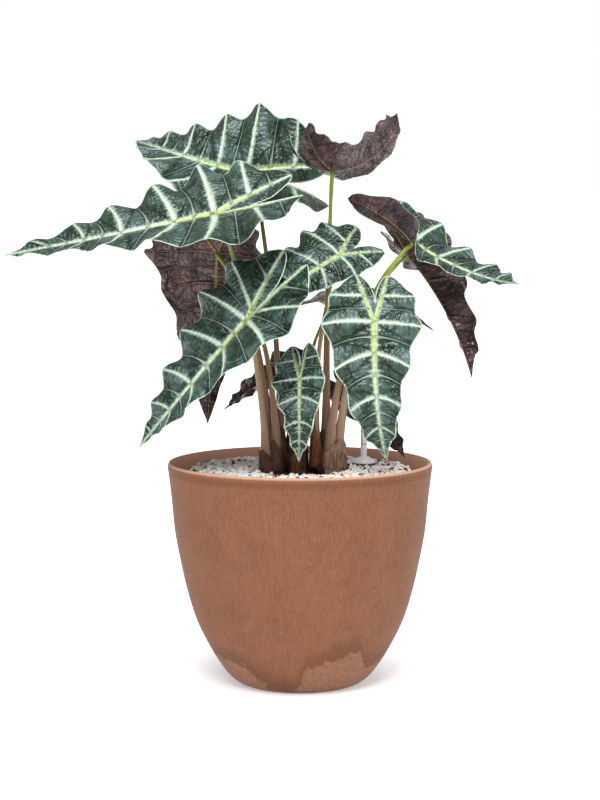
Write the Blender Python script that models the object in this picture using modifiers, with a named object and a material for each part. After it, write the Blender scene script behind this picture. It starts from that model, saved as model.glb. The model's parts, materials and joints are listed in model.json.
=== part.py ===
"""Potted alocasia: a round planter, its soil and mineral top layer, a water gauge, and a plant of thirteen leaves.

Metres, +Z up, the planter's underside on the floor at the origin, the front towards -Y.
"""
import math
from dataclasses import dataclass

import bmesh
import bpy
import numpy as np
from mathutils import Vector

MM = 0.001

# ---- planter ---------------------------------------------------------------------------------------
POT_HEIGHT = 0.280
POT_WALL = 0.006
POT_FLOOR = 0.012
POT_STEPS = 48
# outer radius at each height, from the rim down to the foot
POT_SIDE = ((0.1650, 0.2775), (0.1655, 0.2735), (0.1638, 0.2600), (0.1605, 0.2310), (0.1568, 0.1930),
            (0.1498, 0.1550), (0.1411, 0.1165), (0.1288, 0.0782), (0.1090, 0.0397), (0.0925, 0.0155),
            (0.0800, 0.0045), (0.0700, 0.0))
GAP = 0.0003

# ---- filling ---------------------------------------------------------------------------------------
SOIL_TOP = 0.2600
MOUND_TOP = 0.2660
MOUND_RADIUS = 0.0560
LAYER_TOP = 0.2680
LAYER_INNER = 0.0600
LAYER_OUTER = 0.1410

# ---- water gauge -----------------------------------------------------------------------------------
GAUGE_X = 0.081
GAUGE_Y = 0.046
SLEEVE_RADIUS = 0.0062
SLEEVE_BOTTOM = 0.0900
COLLAR_RADIUS = 0.0150
COLLAR_HEIGHT = 0.0120
TUBE_RADIUS = 0.0040
TUBE_WALL = 0.0007
TUBE_TOP = 0.3250
FLOAT_RADIUS = 0.0020

BLADE_THICKNESS = 0.0009
PETIOLE_GAP = 0.0004


@dataclass(frozen=True)
class Finish:
    """A plain working colour for a part."""

    red: float
    green: float
    blue: float
    rough: float = 0.6
    alpha: float = 1.0


TERRACOTTA = Finish(0.36, 0.16, 0.10, 0.55)
DARK_SOIL = Finish(0.03, 0.02, 0.015, 0.95)
PALE_GRAVEL = Finish(0.55, 0.50, 0.45, 0.90)
CROWN_BARK = Finish(0.10, 0.05, 0.03, 0.85)
FIBRE = Finish(0.20, 0.09, 0.04, 0.90)
PAPERY = Finish(0.32, 0.20, 0.13, 0.85)
STALK = Finish(0.25, 0.22, 0.08, 0.50)
LEAF_GREEN = Finish(0.04, 0.12, 0.08, 0.40)
LEAF_PURPLE = Finish(0.10, 0.05, 0.05, 0.50)
CLEAR = Finish(0.75, 0.78, 0.80, 0.15, 0.5)
GREY_PLASTIC = Finish(0.30, 0.28, 0.32, 0.35)
RED_FLOAT = Finish(0.60, 0.10, 0.03, 0.40)


@dataclass(frozen=True)
class Blade:
    """How one arrow-shaped leaf blade sits and bends; lengths in millimetres, angles in degrees."""

    name: str
    junction: tuple
    heading: float
    pitch: float
    roll: float
    length: float
    width: float = 1.0
    back: float = 1.0
    left: float = 1.0
    gather: float = 1.0
    branch: float = 0.55
    droop: float = 20.0
    back_droop: float = 5.0
    sway: float = 0.0
    twist: float = 0.0
    back_twist: float = 0.0
    fold: tuple = (12, 12)
    back_fold: tuple = (12, 12)
    splay: tuple = (0, 0)
    curl: float = -8.0
    wave: float = 0.035
    finish: Finish = LEAF_GREEN


@dataclass(frozen=True)
class Stalk:
    """A petiole: where it stands, the points it bends through (millimetres) and its radii."""

    blade: str
    foot: tuple
    through: tuple
    foot_radius: float
    top_radius: float
    arrive: float = 1.0


BLADES = (
    Blade("front_left", junction=(-65, -80, 462), heading=190, pitch=-48, roll=-29,
          length=199, width=1.21, back=1.06, left=0.96, gather=1.02, branch=0.15,
          droop=16, back_droop=6, sway=-16, twist=-4, back_twist=-7,
          fold=(20, 11), back_fold=(9, 13), splay=(-10, 1), curl=-11, wave=0.037),
    Blade("front_right", junction=(90, -90, 461), heading=265, pitch=-67, roll=-4,
          length=168, width=1.02, back=0.79, left=0.94, gather=1.08,
          droop=47, back_droop=21, sway=10, twist=12, back_twist=-3,
          fold=(10, 16), back_fold=(12, 16), splay=(-4, 3), curl=-9),
    Blade("front_small", junction=(0, -75, 390), heading=268, pitch=-65, roll=14,
          length=98, width=1.02, back=1.02, left=1.02, gather=1.07,
          droop=31, back_droop=15, sway=-8, twist=-3, back_twist=6,
          fold=(14, 10), back_fold=(26, 8), splay=(-2, 1)),
    Blade("centre", junction=(49, -30, 539), heading=210, pitch=-24, roll=-35,
          length=134, width=1.13, back=0.91, left=0.79, gather=1.06, branch=0.4,
          droop=27, back_droop=16, sway=-4, twist=-5, back_twist=-2,
          fold=(4, 4), back_fold=(5, 8), splay=(10, 8), curl=-19, wave=0.030),
    Blade("long_left", junction=(-105, -40, 590), heading=180, pitch=-12, roll=-25,
          length=256, width=1.14, back=0.91, left=1.02, gather=0.90, branch=0.45,
          droop=4, back_droop=-4, sway=-11, twist=-5, back_twist=5,
          fold=(15, 10), back_fold=(7, 14), splay=(-12, 5), curl=-7, wave=0.034),
    Blade("top_back", junction=(-68, 70, 640), heading=157, pitch=10, roll=-71,
          length=200, width=1.30, back=1.17, left=1.03,
          droop=29, back_droop=60, sway=-22, twist=35, back_twist=3,
          fold=(35, 4), back_fold=(60, 4), splay=(-12, 6), curl=-6, wave=0.039),
    Blade("top_right", junction=(40, 30, 642), heading=8, pitch=1, roll=-21,
          length=140, width=0.98, back=1.28, left=0.74, gather=1.08,
          droop=-88, back_droop=-79, sway=-8, twist=-66, back_twist=-5,
          fold=(4, 4), back_fold=(19, 19), splay=(-4, 24), curl=-6, wave=0.010,
          finish=LEAF_PURPLE),
    Blade("left_dark", junction=(-105, 60, 538), heading=95, pitch=-58, roll=4,
          length=222, width=0.93, back=0.75, left=1.25, gather=0.95,
          droop=37, back_droop=38, sway=2, twist=2,
          fold=(16, 8), back_fold=(6, 6), splay=(9, 2), curl=-14, wave=0.030,
          finish=LEAF_PURPLE),
    Blade("right_arch", junction=(141, 20, 553), heading=344, pitch=-33, roll=15,
          length=163, width=0.93, back=1.26, left=1.16, gather=1.08,
          droop=-40, back_droop=21, sway=-28, twist=16,
          fold=(6, 9), back_fold=(23, 80), splay=(0, 5), curl=-6),
    Blade("right_droop", junction=(138, 78, 533), heading=326, pitch=-45, roll=-78,
          length=189, width=0.85, back=0.75, left=1.00, gather=1.08,
          droop=28, back_droop=11, sway=5, twist=-11, back_twist=8,
          fold=(62, 44), back_fold=(40, 36), splay=(14, -7), curl=-2, wave=0.040,
          finish=LEAF_PURPLE),
    Blade("back_right", junction=(45, 78, 478), heading=7, pitch=1, roll=-18,
          length=129, back=0.82, droop=37, back_droop=26, back_twist=8,
          fold=(14, 14), back_fold=(15, 6), finish=LEAF_PURPLE),
    Blade("low_left", junction=(-21, 85, 385), heading=194, pitch=-21, roll=56,
          length=96, width=1.02, left=0.97, gather=1.08,
          droop=31, sway=8, twist=-8, fold=(9, 23), back_fold=(14, 14), finish=LEAF_PURPLE),
    Blade("low_right", junction=(66, 62, 357), heading=359, pitch=-41, roll=-62,
          length=101, width=1.02, back=0.86, gather=1.08,
          droop=17, back_droop=1, sway=9, fold=(14, 14), back_fold=(13, 16), finish=LEAF_PURPLE),
)

STALKS = (
    Stalk("front_left", (-42, -7), ((-45, -7, 330), (-54, -20, 400), (-60, -45, 452)), 4.2, 2.2),
    Stalk("long_left", (-37, 7), ((-40, 10, 340), (-55, 12, 430), (-86, -2, 545), (-99, -18, 573)), 4.6, 2.2),
    Stalk("left_dark", (-29, -5), ((-31, 2, 330), (-44, 22, 420), (-72, 34, 490), (-96, 50, 524)), 4.4, 2.2),
    Stalk("top_back", (-24, 9), ((-25, 16, 340), (-32, 28, 450), (-46, 60, 560), (-56, 88, 620)), 4.4, 2.3),
    Stalk("front_small", (-1, -15), ((-1, -18, 320), (0, -30, 365), (0, -52, 385)), 3.2, 1.6),
    Stalk("low_left", (-10, 8), ((-10, 16, 320), (-12, 40, 350), (-17, 66, 370)), 3.4, 1.7),
    Stalk("back_right", (3, 6), ((5, 16, 340), (14, 36, 410), (32, 62, 456)), 3.6, 1.8),
    Stalk("centre", (20, -5), ((20, -4, 340), (24, -4, 420), (36, -8, 490), (44, -14, 520)), 4.2, 2.1),
    Stalk("top_right", (33, 5), ((33, 8, 360), (34, 14, 450), (37, 22, 560), (39, 28, 615)), 5.4, 2.4),
    Stalk("right_arch", (37, -10), ((42, -9, 340), (60, -2, 420), (98, 6, 500), (128, 14, 540)), 5.0, 2.5),
    Stalk("front_right", (49, -4), ((50, -6, 325), (61, -18, 395), (76, -44, 445), (86, -68, 460)), 4.2, 2.2),
    Stalk("right_droop", (46, 11), ((56, 16, 350), (74, 28, 430), (100, 44, 494), (124, 60, 524)), 4.4, 2.1),
    Stalk("low_right", (34, 20), ((37, 28, 320), (46, 42, 345), (57, 54, 350)), 3.2, 1.6),
)

# each crown: centre x, y, radius along x, radius along y, in millimetres
CROWNS = (("crown_left", -33, 0, 16.5, 18.0), ("crown_middle", -3.5, -3, 12.2, 18.5),
          ("crown_right", 34.5, 4, 21.0, 22.5))
CROWN_BASE = MOUND_TOP + GAP
CROWN_TOP = 0.2800

# margin of half a blade in shares of its length: x along the midrib, y outwards; back lobe to tip
LOBES = ((-0.46, 0.12), (-0.21, 0.31), (0.05, 0.36), (0.32, 0.275), (0.58, 0.19), (0.78, 0.115),
         (0.92, 0.052), (1.05, 0.0))
# where the rib of each lobe leaves: back rib from -1 to 0, midrib from 0 to 1
RIBS = (-1.0, -0.55, 0.0, 0.2, 0.48, 0.68, 0.86, 1.0)
NOTCHES = (0.012, 0.042, 0.048, 0.042, 0.024, 0.006, 0.0)
SINUS = -0.20
JOINED = 0.45
BLUNT = 0.036
KNOT_STEPS = 2
REACH_STEPS = 3
INNER_STEPS = 2


def smooth_curve(points, at):
    """Catmull-Rom curve through points, read at parameters 0..n-1."""
    p = np.asarray(points, float)
    ends = np.vstack([2 * p[0] - p[1], p, 2 * p[-1] - p[-2]])
    i = np.clip(np.floor(at).astype(int), 0, len(p) - 2)
    u = (at - i)[:, None]
    a, b, c, d = ends[i], ends[i + 1], ends[i + 2], ends[i + 3]
    return 0.5 * (2 * b + (c - a) * u + (2 * a - 5 * b + 4 * c - d) * u ** 2 + (3 * b - a - 3 * c + d) * u ** 3)


def turned_about(vector, axis, angle):
    """A vector turned about a unit axis."""
    return (vector * math.cos(angle) + np.cross(axis, vector) * math.sin(angle)
            + axis * (axis @ vector) * (1 - math.cos(angle)))


class BladeShape:
    """The flat arrow-shaped outline of a blade and the way it is bent into space."""

    def __init__(self, blade):
        self.blade = blade
        self.stations = np.linspace(-0.65, 1.10, 71)
        self.centre, self.frames = self.bend()

    def bend(self):
        """Positions and frames (forward, left, up) along the midline."""
        b = self.blade
        h, p, r = (math.radians(v) for v in (b.heading, b.pitch, b.roll))
        forward = np.array([math.cos(h) * math.cos(p), math.sin(h) * math.cos(p), math.sin(p)])
        level = np.array([-math.sin(h), math.cos(h), 0.0])
        left = level * math.cos(r) + np.cross(forward, level) * math.sin(r)
        up = np.cross(forward, left)
        count = len(self.stations)
        centre = np.zeros((count, 3))
        frames = np.zeros((count, 3, 3))
        middle = int(np.argmin(abs(self.stations)))
        frames[middle] = (forward, left, up)
        for step, order in ((1, range(middle + 1, count)), (-1, range(middle - 1, -1, -1))):
            t, s, n, at = forward, left, up, np.zeros(3)
            for k in order:
                dx = self.stations[k] - self.stations[k - step]
                if step > 0:
                    droop, sway, twist = b.droop * dx, b.sway * dx, b.twist * dx
                else:
                    droop, sway, twist = b.back_droop * dx * 2, 0.0, -b.back_twist * dx * 2
                t, n = (turned_about(v, s, math.radians(droop)) for v in (t, n))
                t, s = (turned_about(v, n, math.radians(sway)) for v in (t, s))
                s, n = (turned_about(v, t, math.radians(twist)) for v in (s, n))
                at = at + t * dx
                centre[k] = at
                frames[k] = (t, s, n)
        return centre, frames

    def knots(self, side):
        """Margin knots and rib starts of one half."""
        b = self.blade
        lobes = np.array(LOBES)
        lobes[:, 1] *= b.width * (b.left if side > 0 else 1 / b.left)
        lobes[:2, 0] *= b.back
        lobes[2:6, 0] *= b.gather
        swing = -math.radians(b.splay[0 if side > 0 else 1])
        for k, share in ((0, 1.0), (1, 0.6)):
            x, y = lobes[k]
            c, s = math.cos(swing * share), math.sin(swing * share)
            lobes[k] = (x * c - y * s, x * s + y * c)
        lobes[0, 1] = max(lobes[0, 1], 0.05)
        ribs = np.array(RIBS)
        ribs[1] = -b.branch
        ribs[3:7] *= b.gather
        return lobes, ribs

    def rib_point(self, rib, lobes):
        """Flat point on the back rib (rib < 0) or the midrib (rib >= 0)."""
        share = np.clip(-rib, 0, 1)
        back = np.stack([lobes[0, 0] * share, lobes[0, 1] * share ** 0.9], 1)
        ahead = np.stack([rib * LOBES[-1][0], 0 * rib], 1)
        return np.where(rib[:, None] < 0, back, ahead)

    def outer(self, m, t, side):
        """Flat points and heights between the ribs and the margin: m along it, t outwards."""
        b = self.blade
        lobes, ribs = self.knots(side)
        edge = smooth_curve(lobes, m)
        tip = lobes[0] / np.linalg.norm(lobes[0])
        blunt = BLUNT * np.sin(math.pi * np.sqrt(np.clip(m, 0, 1)))
        edge = edge + np.outer(blunt, (tip[1], -tip[0]))
        part = np.clip(np.floor(m).astype(int), 0, len(NOTCHES) - 1)
        rest = m - part
        rib = np.interp(m, np.arange(len(ribs)), ribs)
        base = self.rib_point(rib, lobes)
        out = edge - base
        reach = np.linalg.norm(out, axis=1)
        notch = np.array(NOTCHES)[part] * np.sin(math.pi * rest) ** 2
        out = out * (1 - np.minimum(notch / np.maximum(reach, 1e-6), 0.5))[:, None]
        t = np.full_like(m, t)
        bow = 0.10 * reach * np.clip(rib + 0.3, 0, 1) * 4 * t * (1 - t)
        flat = base + out * t[:, None]
        flat[:, 0] -= bow
        size = np.minimum(reach / 0.36, 1.0)
        height = b.wave * size * t ** 1.5 * np.cos(2 * math.pi * m)
        height += 0.010 * np.sin(math.pi * rest) ** 2 * 4 * t * (1 - t) * size
        return flat, height

    def inner(self, m, t, side):
        """Flat points and heights between the back rib and the centre line."""
        lobes, ribs = self.knots(side)
        rib = np.interp(m, np.arange(len(ribs)), ribs)
        share = np.clip(-rib, 0, 1)
        base = self.rib_point(rib, lobes)
        notch = np.array([SINUS * self.blade.back, 0.0])
        bend = np.array([notch[0] + 0.45 * (lobes[0, 0] - notch[0]), 0.15 * lobes[0, 1]])
        u = np.clip((share - JOINED) / (1 - JOINED), 0, 1)[:, None]
        margin = (1 - u) ** 2 * notch + 2 * u * (1 - u) * bend + u ** 2 * lobes[0]
        tip = lobes[0] / np.linalg.norm(lobes[0])
        blunt = 0.8 * BLUNT * min(1.0, lobes[0, 1] / 0.12) * np.sin(math.pi * np.sqrt(1 - u))
        margin = margin - blunt * np.array([tip[1], -tip[0]])
        line = np.stack([notch[0] * np.clip(share / JOINED, 0, 1), 0 * share], 1)
        edge = np.where(share[:, None] <= JOINED, line, margin)
        return base + (edge - base) * t, np.zeros(len(m))

    def place(self, flat, height, side):
        """Points in space, in metres."""
        b = self.blade
        x, y = flat[:, 0], flat[:, 1]
        centre = np.stack([np.interp(x, self.stations, self.centre[:, k]) for k in range(3)], 1)
        frame = np.stack([np.stack([np.interp(x, self.stations, self.frames[:, a, k]) for k in range(3)], 1)
                          for a in range(3)], 1)
        frame /= np.linalg.norm(frame, axis=2, keepdims=True)
        pick = 0 if side > 0 else 1
        w = np.clip((x + 0.12) / 0.3, 0, 1)
        w = w * w * (3 - 2 * w)
        start = np.radians(b.back_fold[pick] * (1 - w) + b.fold[pick] * w)
        bend = math.radians(b.curl) / 0.35
        end = start + bend * y
        across = (np.sin(end) - np.sin(start)) / bend - height * np.sin(end)
        above = (np.cos(start) - np.cos(end)) / bend + height * np.cos(end)
        spot = centre + frame[:, 1] * (across * side)[:, None] + frame[:, 2] * above[:, None]
        return (np.array(b.junction) + spot * b.length) * MM

    def sheet(self):
        """One open sheet: points, faces wound to face upwards."""
        points, faces, known = [], [], {}

        def grid(rows, flip, side):
            ids = []
            for flat, height in rows:
                spots = self.place(flat, height, side)
                row = []
                for (x, y), spot in zip(flat, spots):
                    key = (round(float(x), 5), round(float(y) * side, 5) + 0.0)
                    if key not in known:
                        known[key] = len(points)
                        points.append(spot)
                    row.append(known[key])
                ids.append(row)
            for low, high in zip(ids, ids[1:]):
                for k in range(len(low) - 1):
                    ring = [low[k], low[k + 1], high[k + 1], high[k]]
                    ring = [v for i, v in enumerate(ring) if v not in ring[:i]]
                    if len(ring) > 2:
                        faces.append(ring[::-1] if flip else ring)

        last = len(LOBES) - 1
        along = np.linspace(0, last, last * KNOT_STEPS + 1)
        back = np.linspace(0, 2, 2 * KNOT_STEPS + 1)
        for side in (1, -1):
            grid([self.outer(along, t, side) for t in np.linspace(0, 1, REACH_STEPS + 1)], side < 0, side)
            grid([self.inner(back, t, side) for t in np.linspace(0, 1, INNER_STEPS + 1)], side > 0, side)
        return np.array(points), faces

    def under_junction(self):
        """The point just below the blade where its stalk arrives, and the direction away from it."""
        up = self.frames[int(np.argmin(abs(self.stations)))][2]
        start = np.array(self.blade.junction) * MM
        return start - up * (BLADE_THICKNESS + PETIOLE_GAP), -up


def thicken(points, faces, thickness):
    """A closed thin body from an open sheet."""
    normals = np.zeros_like(points)
    for ring in faces:
        a, b, c = (points[ring[k]] for k in (0, 1, 2))
        n = np.cross(b - a, c - a)
        if len(ring) == 4:
            n = n + np.cross(c - a, points[ring[3]] - a)
        for v in ring:
            normals[v] += n
    normals /= np.linalg.norm(normals, axis=1, keepdims=True)
    count = len(points)
    edges = {}
    for ring in faces:
        for a, b in zip(ring, ring[1:] + ring[:1]):
            edges[(a, b)] = True
    body = [list(ring) for ring in faces]
    body += [[v + count for v in reversed(ring)] for ring in faces]
    for a, b in edges:
        if (b, a) not in edges:
            body.append([b, a, a + count, b + count])
    spots = np.vstack([points, points - normals * thickness])
    return spots, in_triangles(spots, body)


def in_triangles(points, faces):
    """The faces as triangles, each four-sided one split along its shorter diagonal."""
    split = []
    for ring in faces:
        if len(ring) == 3:
            split.append(ring)
            continue
        a, b, c, d = ring
        if np.linalg.norm(points[a] - points[c]) <= np.linalg.norm(points[b] - points[d]):
            split += [[a, b, c], [a, c, d]]
        else:
            split += [[a, b, d], [b, c, d]]
    return split


def clear_file():
    """Remove whatever the file holds."""
    for item in list(bpy.data.objects):
        bpy.data.objects.remove(item, do_unlink=True)
    for mesh in list(bpy.data.meshes):
        bpy.data.meshes.remove(mesh)


def make_collection(name, hidden=False):
    """A collection under the scene."""
    group = bpy.data.collections.new(name)
    bpy.context.scene.collection.children.link(group)
    group.hide_render = hidden
    return group


def paint(item, finish):
    """Give an object its own plain material."""
    material = bpy.data.materials.new(item.name)
    material.use_nodes = True
    shader = material.node_tree.nodes["Principled BSDF"]
    shader.inputs["Base Color"].default_value = (finish.red, finish.green, finish.blue, 1.0)
    shader.inputs["Roughness"].default_value = finish.rough
    shader.inputs["Alpha"].default_value = finish.alpha
    item.data.materials.append(material)


def mesh_object(name, points, faces, finish, group):
    """An object from points and faces."""
    mesh = bpy.data.meshes.new(name)
    mesh.from_pydata([tuple(p) for p in points], [], [tuple(f) for f in faces])
    mesh.update()
    item = bpy.data.objects.new(name, mesh)
    group.objects.link(item)
    paint(item, finish)
    return item


def turned(name, profile, steps, finish, group, centre=(0.0, 0.0)):
    """A body of revolution from an outer profile that runs from top to bottom and back."""
    mesh = bpy.data.meshes.new(name)
    points = [(radius, 0.0, height) for radius, height in profile]
    closed = profile[0][0] > 0 or profile[-1][0] > 0
    edges = [(k, k + 1) for k in range(len(points) - 1)]
    if closed:
        edges.append((len(points) - 1, 0))
    mesh.from_pydata(points, edges, [])
    item = bpy.data.objects.new(name, mesh)
    item.location = (centre[0], centre[1], 0.0)
    group.objects.link(item)
    screw = item.modifiers.new("turn", "SCREW")
    screw.steps = steps
    screw.render_steps = steps
    screw.use_merge_vertices = True
    screw.merge_threshold = 0.00001
    screw.use_smooth_shade = False
    paint(item, finish)
    return item


def cut_with(item, cutter):
    """Cut one body out of another, exactly."""
    hole = item.modifiers.new("cut", "BOOLEAN")
    hole.operation = "DIFFERENCE"
    hole.solver = "EXACT"
    hole.object = cutter


def cylinder(name, radius, low, high, centre, group, sides=24):
    """A plain upright cylinder."""
    shape = bmesh.new()
    bmesh.ops.create_cone(shape, cap_ends=True, segments=sides, radius1=radius, radius2=radius, depth=high - low)
    bmesh.ops.translate(shape, verts=shape.verts, vec=Vector((centre[0], centre[1], (low + high) / 2)))
    mesh = bpy.data.meshes.new(name)
    shape.to_mesh(mesh)
    shape.free()
    item = bpy.data.objects.new(name, mesh)
    item.display_type = "WIRE"
    group.objects.link(item)
    return item


def pot_inner(height):
    """Inner radius of the planter at a height."""
    heights = [z for r, z in reversed(POT_SIDE)]
    radii = [r for r, z in reversed(POT_SIDE)]
    return float(np.interp(height, heights, radii)) - POT_WALL


def build_planter(parts):
    """The pot: a thin-walled bowl with a rounded rim and a flat foot."""
    inner = [(pot_inner(z), z) for z in (0.0180, 0.0397, 0.0782, 0.1165, 0.1550, 0.1930, 0.2310, 0.2600, 0.2735)]
    rim = [(0.1608, POT_HEIGHT - 0.0012), (0.1622, POT_HEIGHT), (0.1638, POT_HEIGHT - 0.0005)]
    profile = list(POT_SIDE) + [(0.0, 0.0), (0.0, POT_FLOOR), (0.0760, POT_FLOOR)] + inner + rim
    turned("pot", profile, POT_STEPS, TERRACOTTA, parts)


def build_filling(parts, cutters):
    """Soil with its middle mound, and the mineral layer laid round the stems."""
    wall = [(pot_inner(z) - 2 * GAP, z) for z in (0.2310, 0.1930, 0.1550, 0.1165, 0.0782, 0.0397, 0.0180)]
    top = [(0.0, MOUND_TOP), (MOUND_RADIUS, MOUND_TOP), (LAYER_INNER - 0.001, SOIL_TOP),
           (pot_inner(SOIL_TOP) - 2 * GAP, SOIL_TOP)]
    floor = [(0.0745, POT_FLOOR + GAP), (0.0, POT_FLOOR + GAP)]
    soil = turned("soil", top + wall + floor, POT_STEPS, DARK_SOIL, parts)
    low = SOIL_TOP + GAP
    slab = [(LAYER_INNER, LAYER_TOP - 0.0015), (LAYER_INNER + 0.003, LAYER_TOP), (LAYER_OUTER - 0.004, LAYER_TOP),
            (LAYER_OUTER, low + 0.003), (LAYER_OUTER, low), (LAYER_INNER, low)]
    layer = turned("mineral_layer", slab, POT_STEPS, PALE_GRAVEL, parts)
    for item, bottom in ((soil, SLEEVE_BOTTOM - GAP), (layer, SOIL_TOP - 0.001)):
        tool = cylinder(item.name + "_gauge_hole", SLEEVE_RADIUS + GAP, bottom, LAYER_TOP + 0.010,
                        (GAUGE_X, GAUGE_Y), cutters)
        cut_with(item, tool)


def build_gauge(parts):
    """Water gauge: a sleeve in the soil, a domed collar, a clear tube with a cap and a red float."""
    centre = (GAUGE_X, GAUGE_Y)
    bore = TUBE_RADIUS + GAP
    sleeve_top = LAYER_TOP - 0.0005
    turned("gauge_sleeve", [(SLEEVE_RADIUS, sleeve_top), (SLEEVE_RADIUS, SLEEVE_BOTTOM), (0.0, SLEEVE_BOTTOM),
                            (0.0, SLEEVE_BOTTOM + 0.002), (0.0050, SLEEVE_BOTTOM + 0.002), (0.0050, sleeve_top)],
           24, GREY_PLASTIC, parts, centre)
    foot = LAYER_TOP + GAP
    dome = [(bore, foot + COLLAR_HEIGHT), (0.0062, foot + COLLAR_HEIGHT), (0.0072, foot + 0.0085),
            (0.0112, foot + 0.0062), (0.0140, foot + 0.0035), (COLLAR_RADIUS, foot + 0.0018),
            (COLLAR_RADIUS, foot), (bore, foot)]
    turned("gauge_collar", dome, 32, GREY_PLASTIC, parts, centre)
    tube_low = SLEEVE_BOTTOM + 0.0023
    turned("gauge_tube", [(TUBE_RADIUS, TUBE_TOP), (TUBE_RADIUS, tube_low), (TUBE_RADIUS - TUBE_WALL, tube_low),
                          (TUBE_RADIUS - TUBE_WALL, TUBE_TOP)], 24, CLEAR, parts, centre)
    turned("gauge_float", [(0.0, 0.2790), (0.0012, 0.2780), (FLOAT_RADIUS, 0.2740), (FLOAT_RADIUS, 0.1000),
                           (0.0029, 0.0980), (0.0029, tube_low + GAP), (0.0, tube_low + GAP)],
           16, RED_FLOAT, parts, centre)
    cap_low = TUBE_TOP + GAP
    turned("gauge_cap", [(0.0, cap_low + 0.0050), (0.0038, cap_low + 0.0046), (0.0048, cap_low + 0.0030),
                         (0.0048, cap_low), (0.0, cap_low)], 24, GREY_PLASTIC, parts, centre)


def build_crowns(parts):
    """The stem bases the stalks rise from: three short lumps with flat tops."""
    sides = 20
    rings = ((CROWN_BASE, 0.93), (CROWN_BASE + 0.004, 1.0), (CROWN_TOP - 0.003, 0.98), (CROWN_TOP, 0.93))
    for name, x, y, rx, ry in CROWNS:
        points, faces = [], []
        for height, share in rings:
            for k in range(sides):
                turn = 2 * math.pi * k / sides
                points.append(((x + rx * share * math.cos(turn)) * MM, (y + ry * share * math.sin(turn)) * MM, height))
        for ring in range(len(rings) - 1):
            for k in range(sides):
                a, b = ring * sides + k, ring * sides + (k + 1) % sides
                faces.append([a, b, b + sides, a + sides])
        faces.append(list(range(sides))[::-1])
        faces.append([len(points) - sides + k for k in range(sides)])
        mesh_object(name, points, faces, CROWN_BARK, parts)


def build_sheath(name, crown, first, last, heights, lean, finish, parts):
    """A dry leaf base that stands on the mound and hugs one side of a crown."""
    x, y, rx, ry = next(c[1:] for c in CROWNS if c[0] == crown)
    thick, clear = 0.0008, 0.0006
    samples = np.linspace(0, len(heights) - 1, 3 * (len(heights) - 1) + 1)
    heights = [float(h) for h in np.interp(samples, np.arange(len(heights)), heights)]
    points = []
    levels = (0.0, 0.35, 0.7, 1.0)
    for share in levels:
        for layer in (0, 1):
            for k, top in enumerate(heights):
                turn = math.radians(first + (last - first) * k / (len(heights) - 1))
                out = clear + layer * thick + lean * share ** 2
                height = CROWN_BASE + (top * MM) * share
                points.append((x * MM + (rx * MM + out) * math.cos(turn), y * MM + (ry * MM + out) * math.sin(turn),
                               height))
    n = len(heights)
    faces = []
    for level in range(len(levels) - 1):
        base = level * 2 * n
        for k in range(n - 1):
            inner, outer = base + k, base + n + k
            faces.append([outer, outer + 1, outer + 1 + 2 * n, outer + 2 * n])
            faces.append([inner + 1, inner, inner + 2 * n, inner + 1 + 2 * n])
        faces.append([base, base + n, base + 3 * n, base + 2 * n])
        faces.append([base + 2 * n - 1, base + n - 1, base + 3 * n - 1, base + 4 * n - 1])
    top = (len(levels) - 1) * 2 * n
    for k in range(n - 1):
        faces.append([top + k + 1, top + k, top + n + k, top + n + k + 1])
        faces.append([k, k + 1, n + k + 1, n + k])
    item = mesh_object(name, points, faces, finish, parts)
    shape = bmesh.new()
    shape.from_mesh(item.data)
    bmesh.ops.recalc_face_normals(shape, faces=shape.faces)
    shape.to_mesh(item.data)
    shape.free()


def build_stalk(stalk, blade_shape, parts):
    """A petiole: a tapering round stem from its crown to just under its blade."""
    end, away = blade_shape.under_junction()
    foot = np.array([stalk.foot[0], stalk.foot[1], 0.0]) * MM + np.array([0.0, 0.0, CROWN_TOP + GAP])
    rise = foot + np.array([0.0, 0.0, 0.004])
    middle = [np.array(p) * MM for p in stalk.through]
    knots = [rise] + middle + [end + away * 0.005]
    route = smooth_curve(knots, np.linspace(0, len(knots) - 1, 4 * (len(knots) - 1) + 1))
    keep = [foot] + list(route) + [end]
    shares = np.cumsum([0.0] + [float(np.linalg.norm(b - a)) for a, b in zip(keep, keep[1:])])
    shares /= shares[-1]
    curve = bpy.data.curves.new("petiole_" + stalk.blade, "CURVE")
    curve.dimensions = "3D"
    curve.bevel_depth = 1.0
    curve.bevel_resolution = 2
    curve.use_fill_caps = True
    spline = curve.splines.new("POLY")
    spline.points.add(len(keep) - 1)
    for knot, spot, share in zip(spline.points, keep, shares):
        knot.co = (spot[0], spot[1], spot[2], 1.0)
        knot.radius = (stalk.foot_radius + (stalk.top_radius - stalk.foot_radius) * min(share * 1.15, 1.0)) * MM
    item = bpy.data.objects.new("petiole_" + stalk.blade, curve)
    parts.objects.link(item)
    paint(item, STALK)


def main():
    """Build every part."""
    clear_file()
    parts = make_collection("potted_alocasia")
    cutters = make_collection("cutters", hidden=True)
    build_planter(parts)
    build_filling(parts, cutters)
    build_gauge(parts)
    build_crowns(parts)
    build_sheath("sheath_left", "crown_left", 100, 265, (16, 22, 27, 24, 19, 15), 0.001, FIBRE, parts)
    build_sheath("sheath_middle", "crown_middle", 235, 325, (20, 28, 32, 26, 18), -0.001, FIBRE, parts)
    build_sheath("sheath_right", "crown_right", -100, 35, (26, 36, 43, 38, 30, 20), 0.0012, PAPERY, parts)
    shapes = {blade.name: BladeShape(blade) for blade in BLADES}
    for shape in shapes.values():
        points, faces = thicken(*shape.sheet(), BLADE_THICKNESS)
        mesh_object("leaf_" + shape.blade.name, points, faces, shape.blade.finish, parts)
    for stalk in STALKS:
        build_stalk(stalk, shapes[stalk.blade], parts)


main()
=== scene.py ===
"""Looks of the potted alocasia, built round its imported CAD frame.

Metres, +Z up, the planter's underside on the floor at the origin, the front towards -Y.
"""

import json
import logging
import math
from collections.abc import Sequence
from dataclasses import dataclass
from enum import Enum

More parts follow.
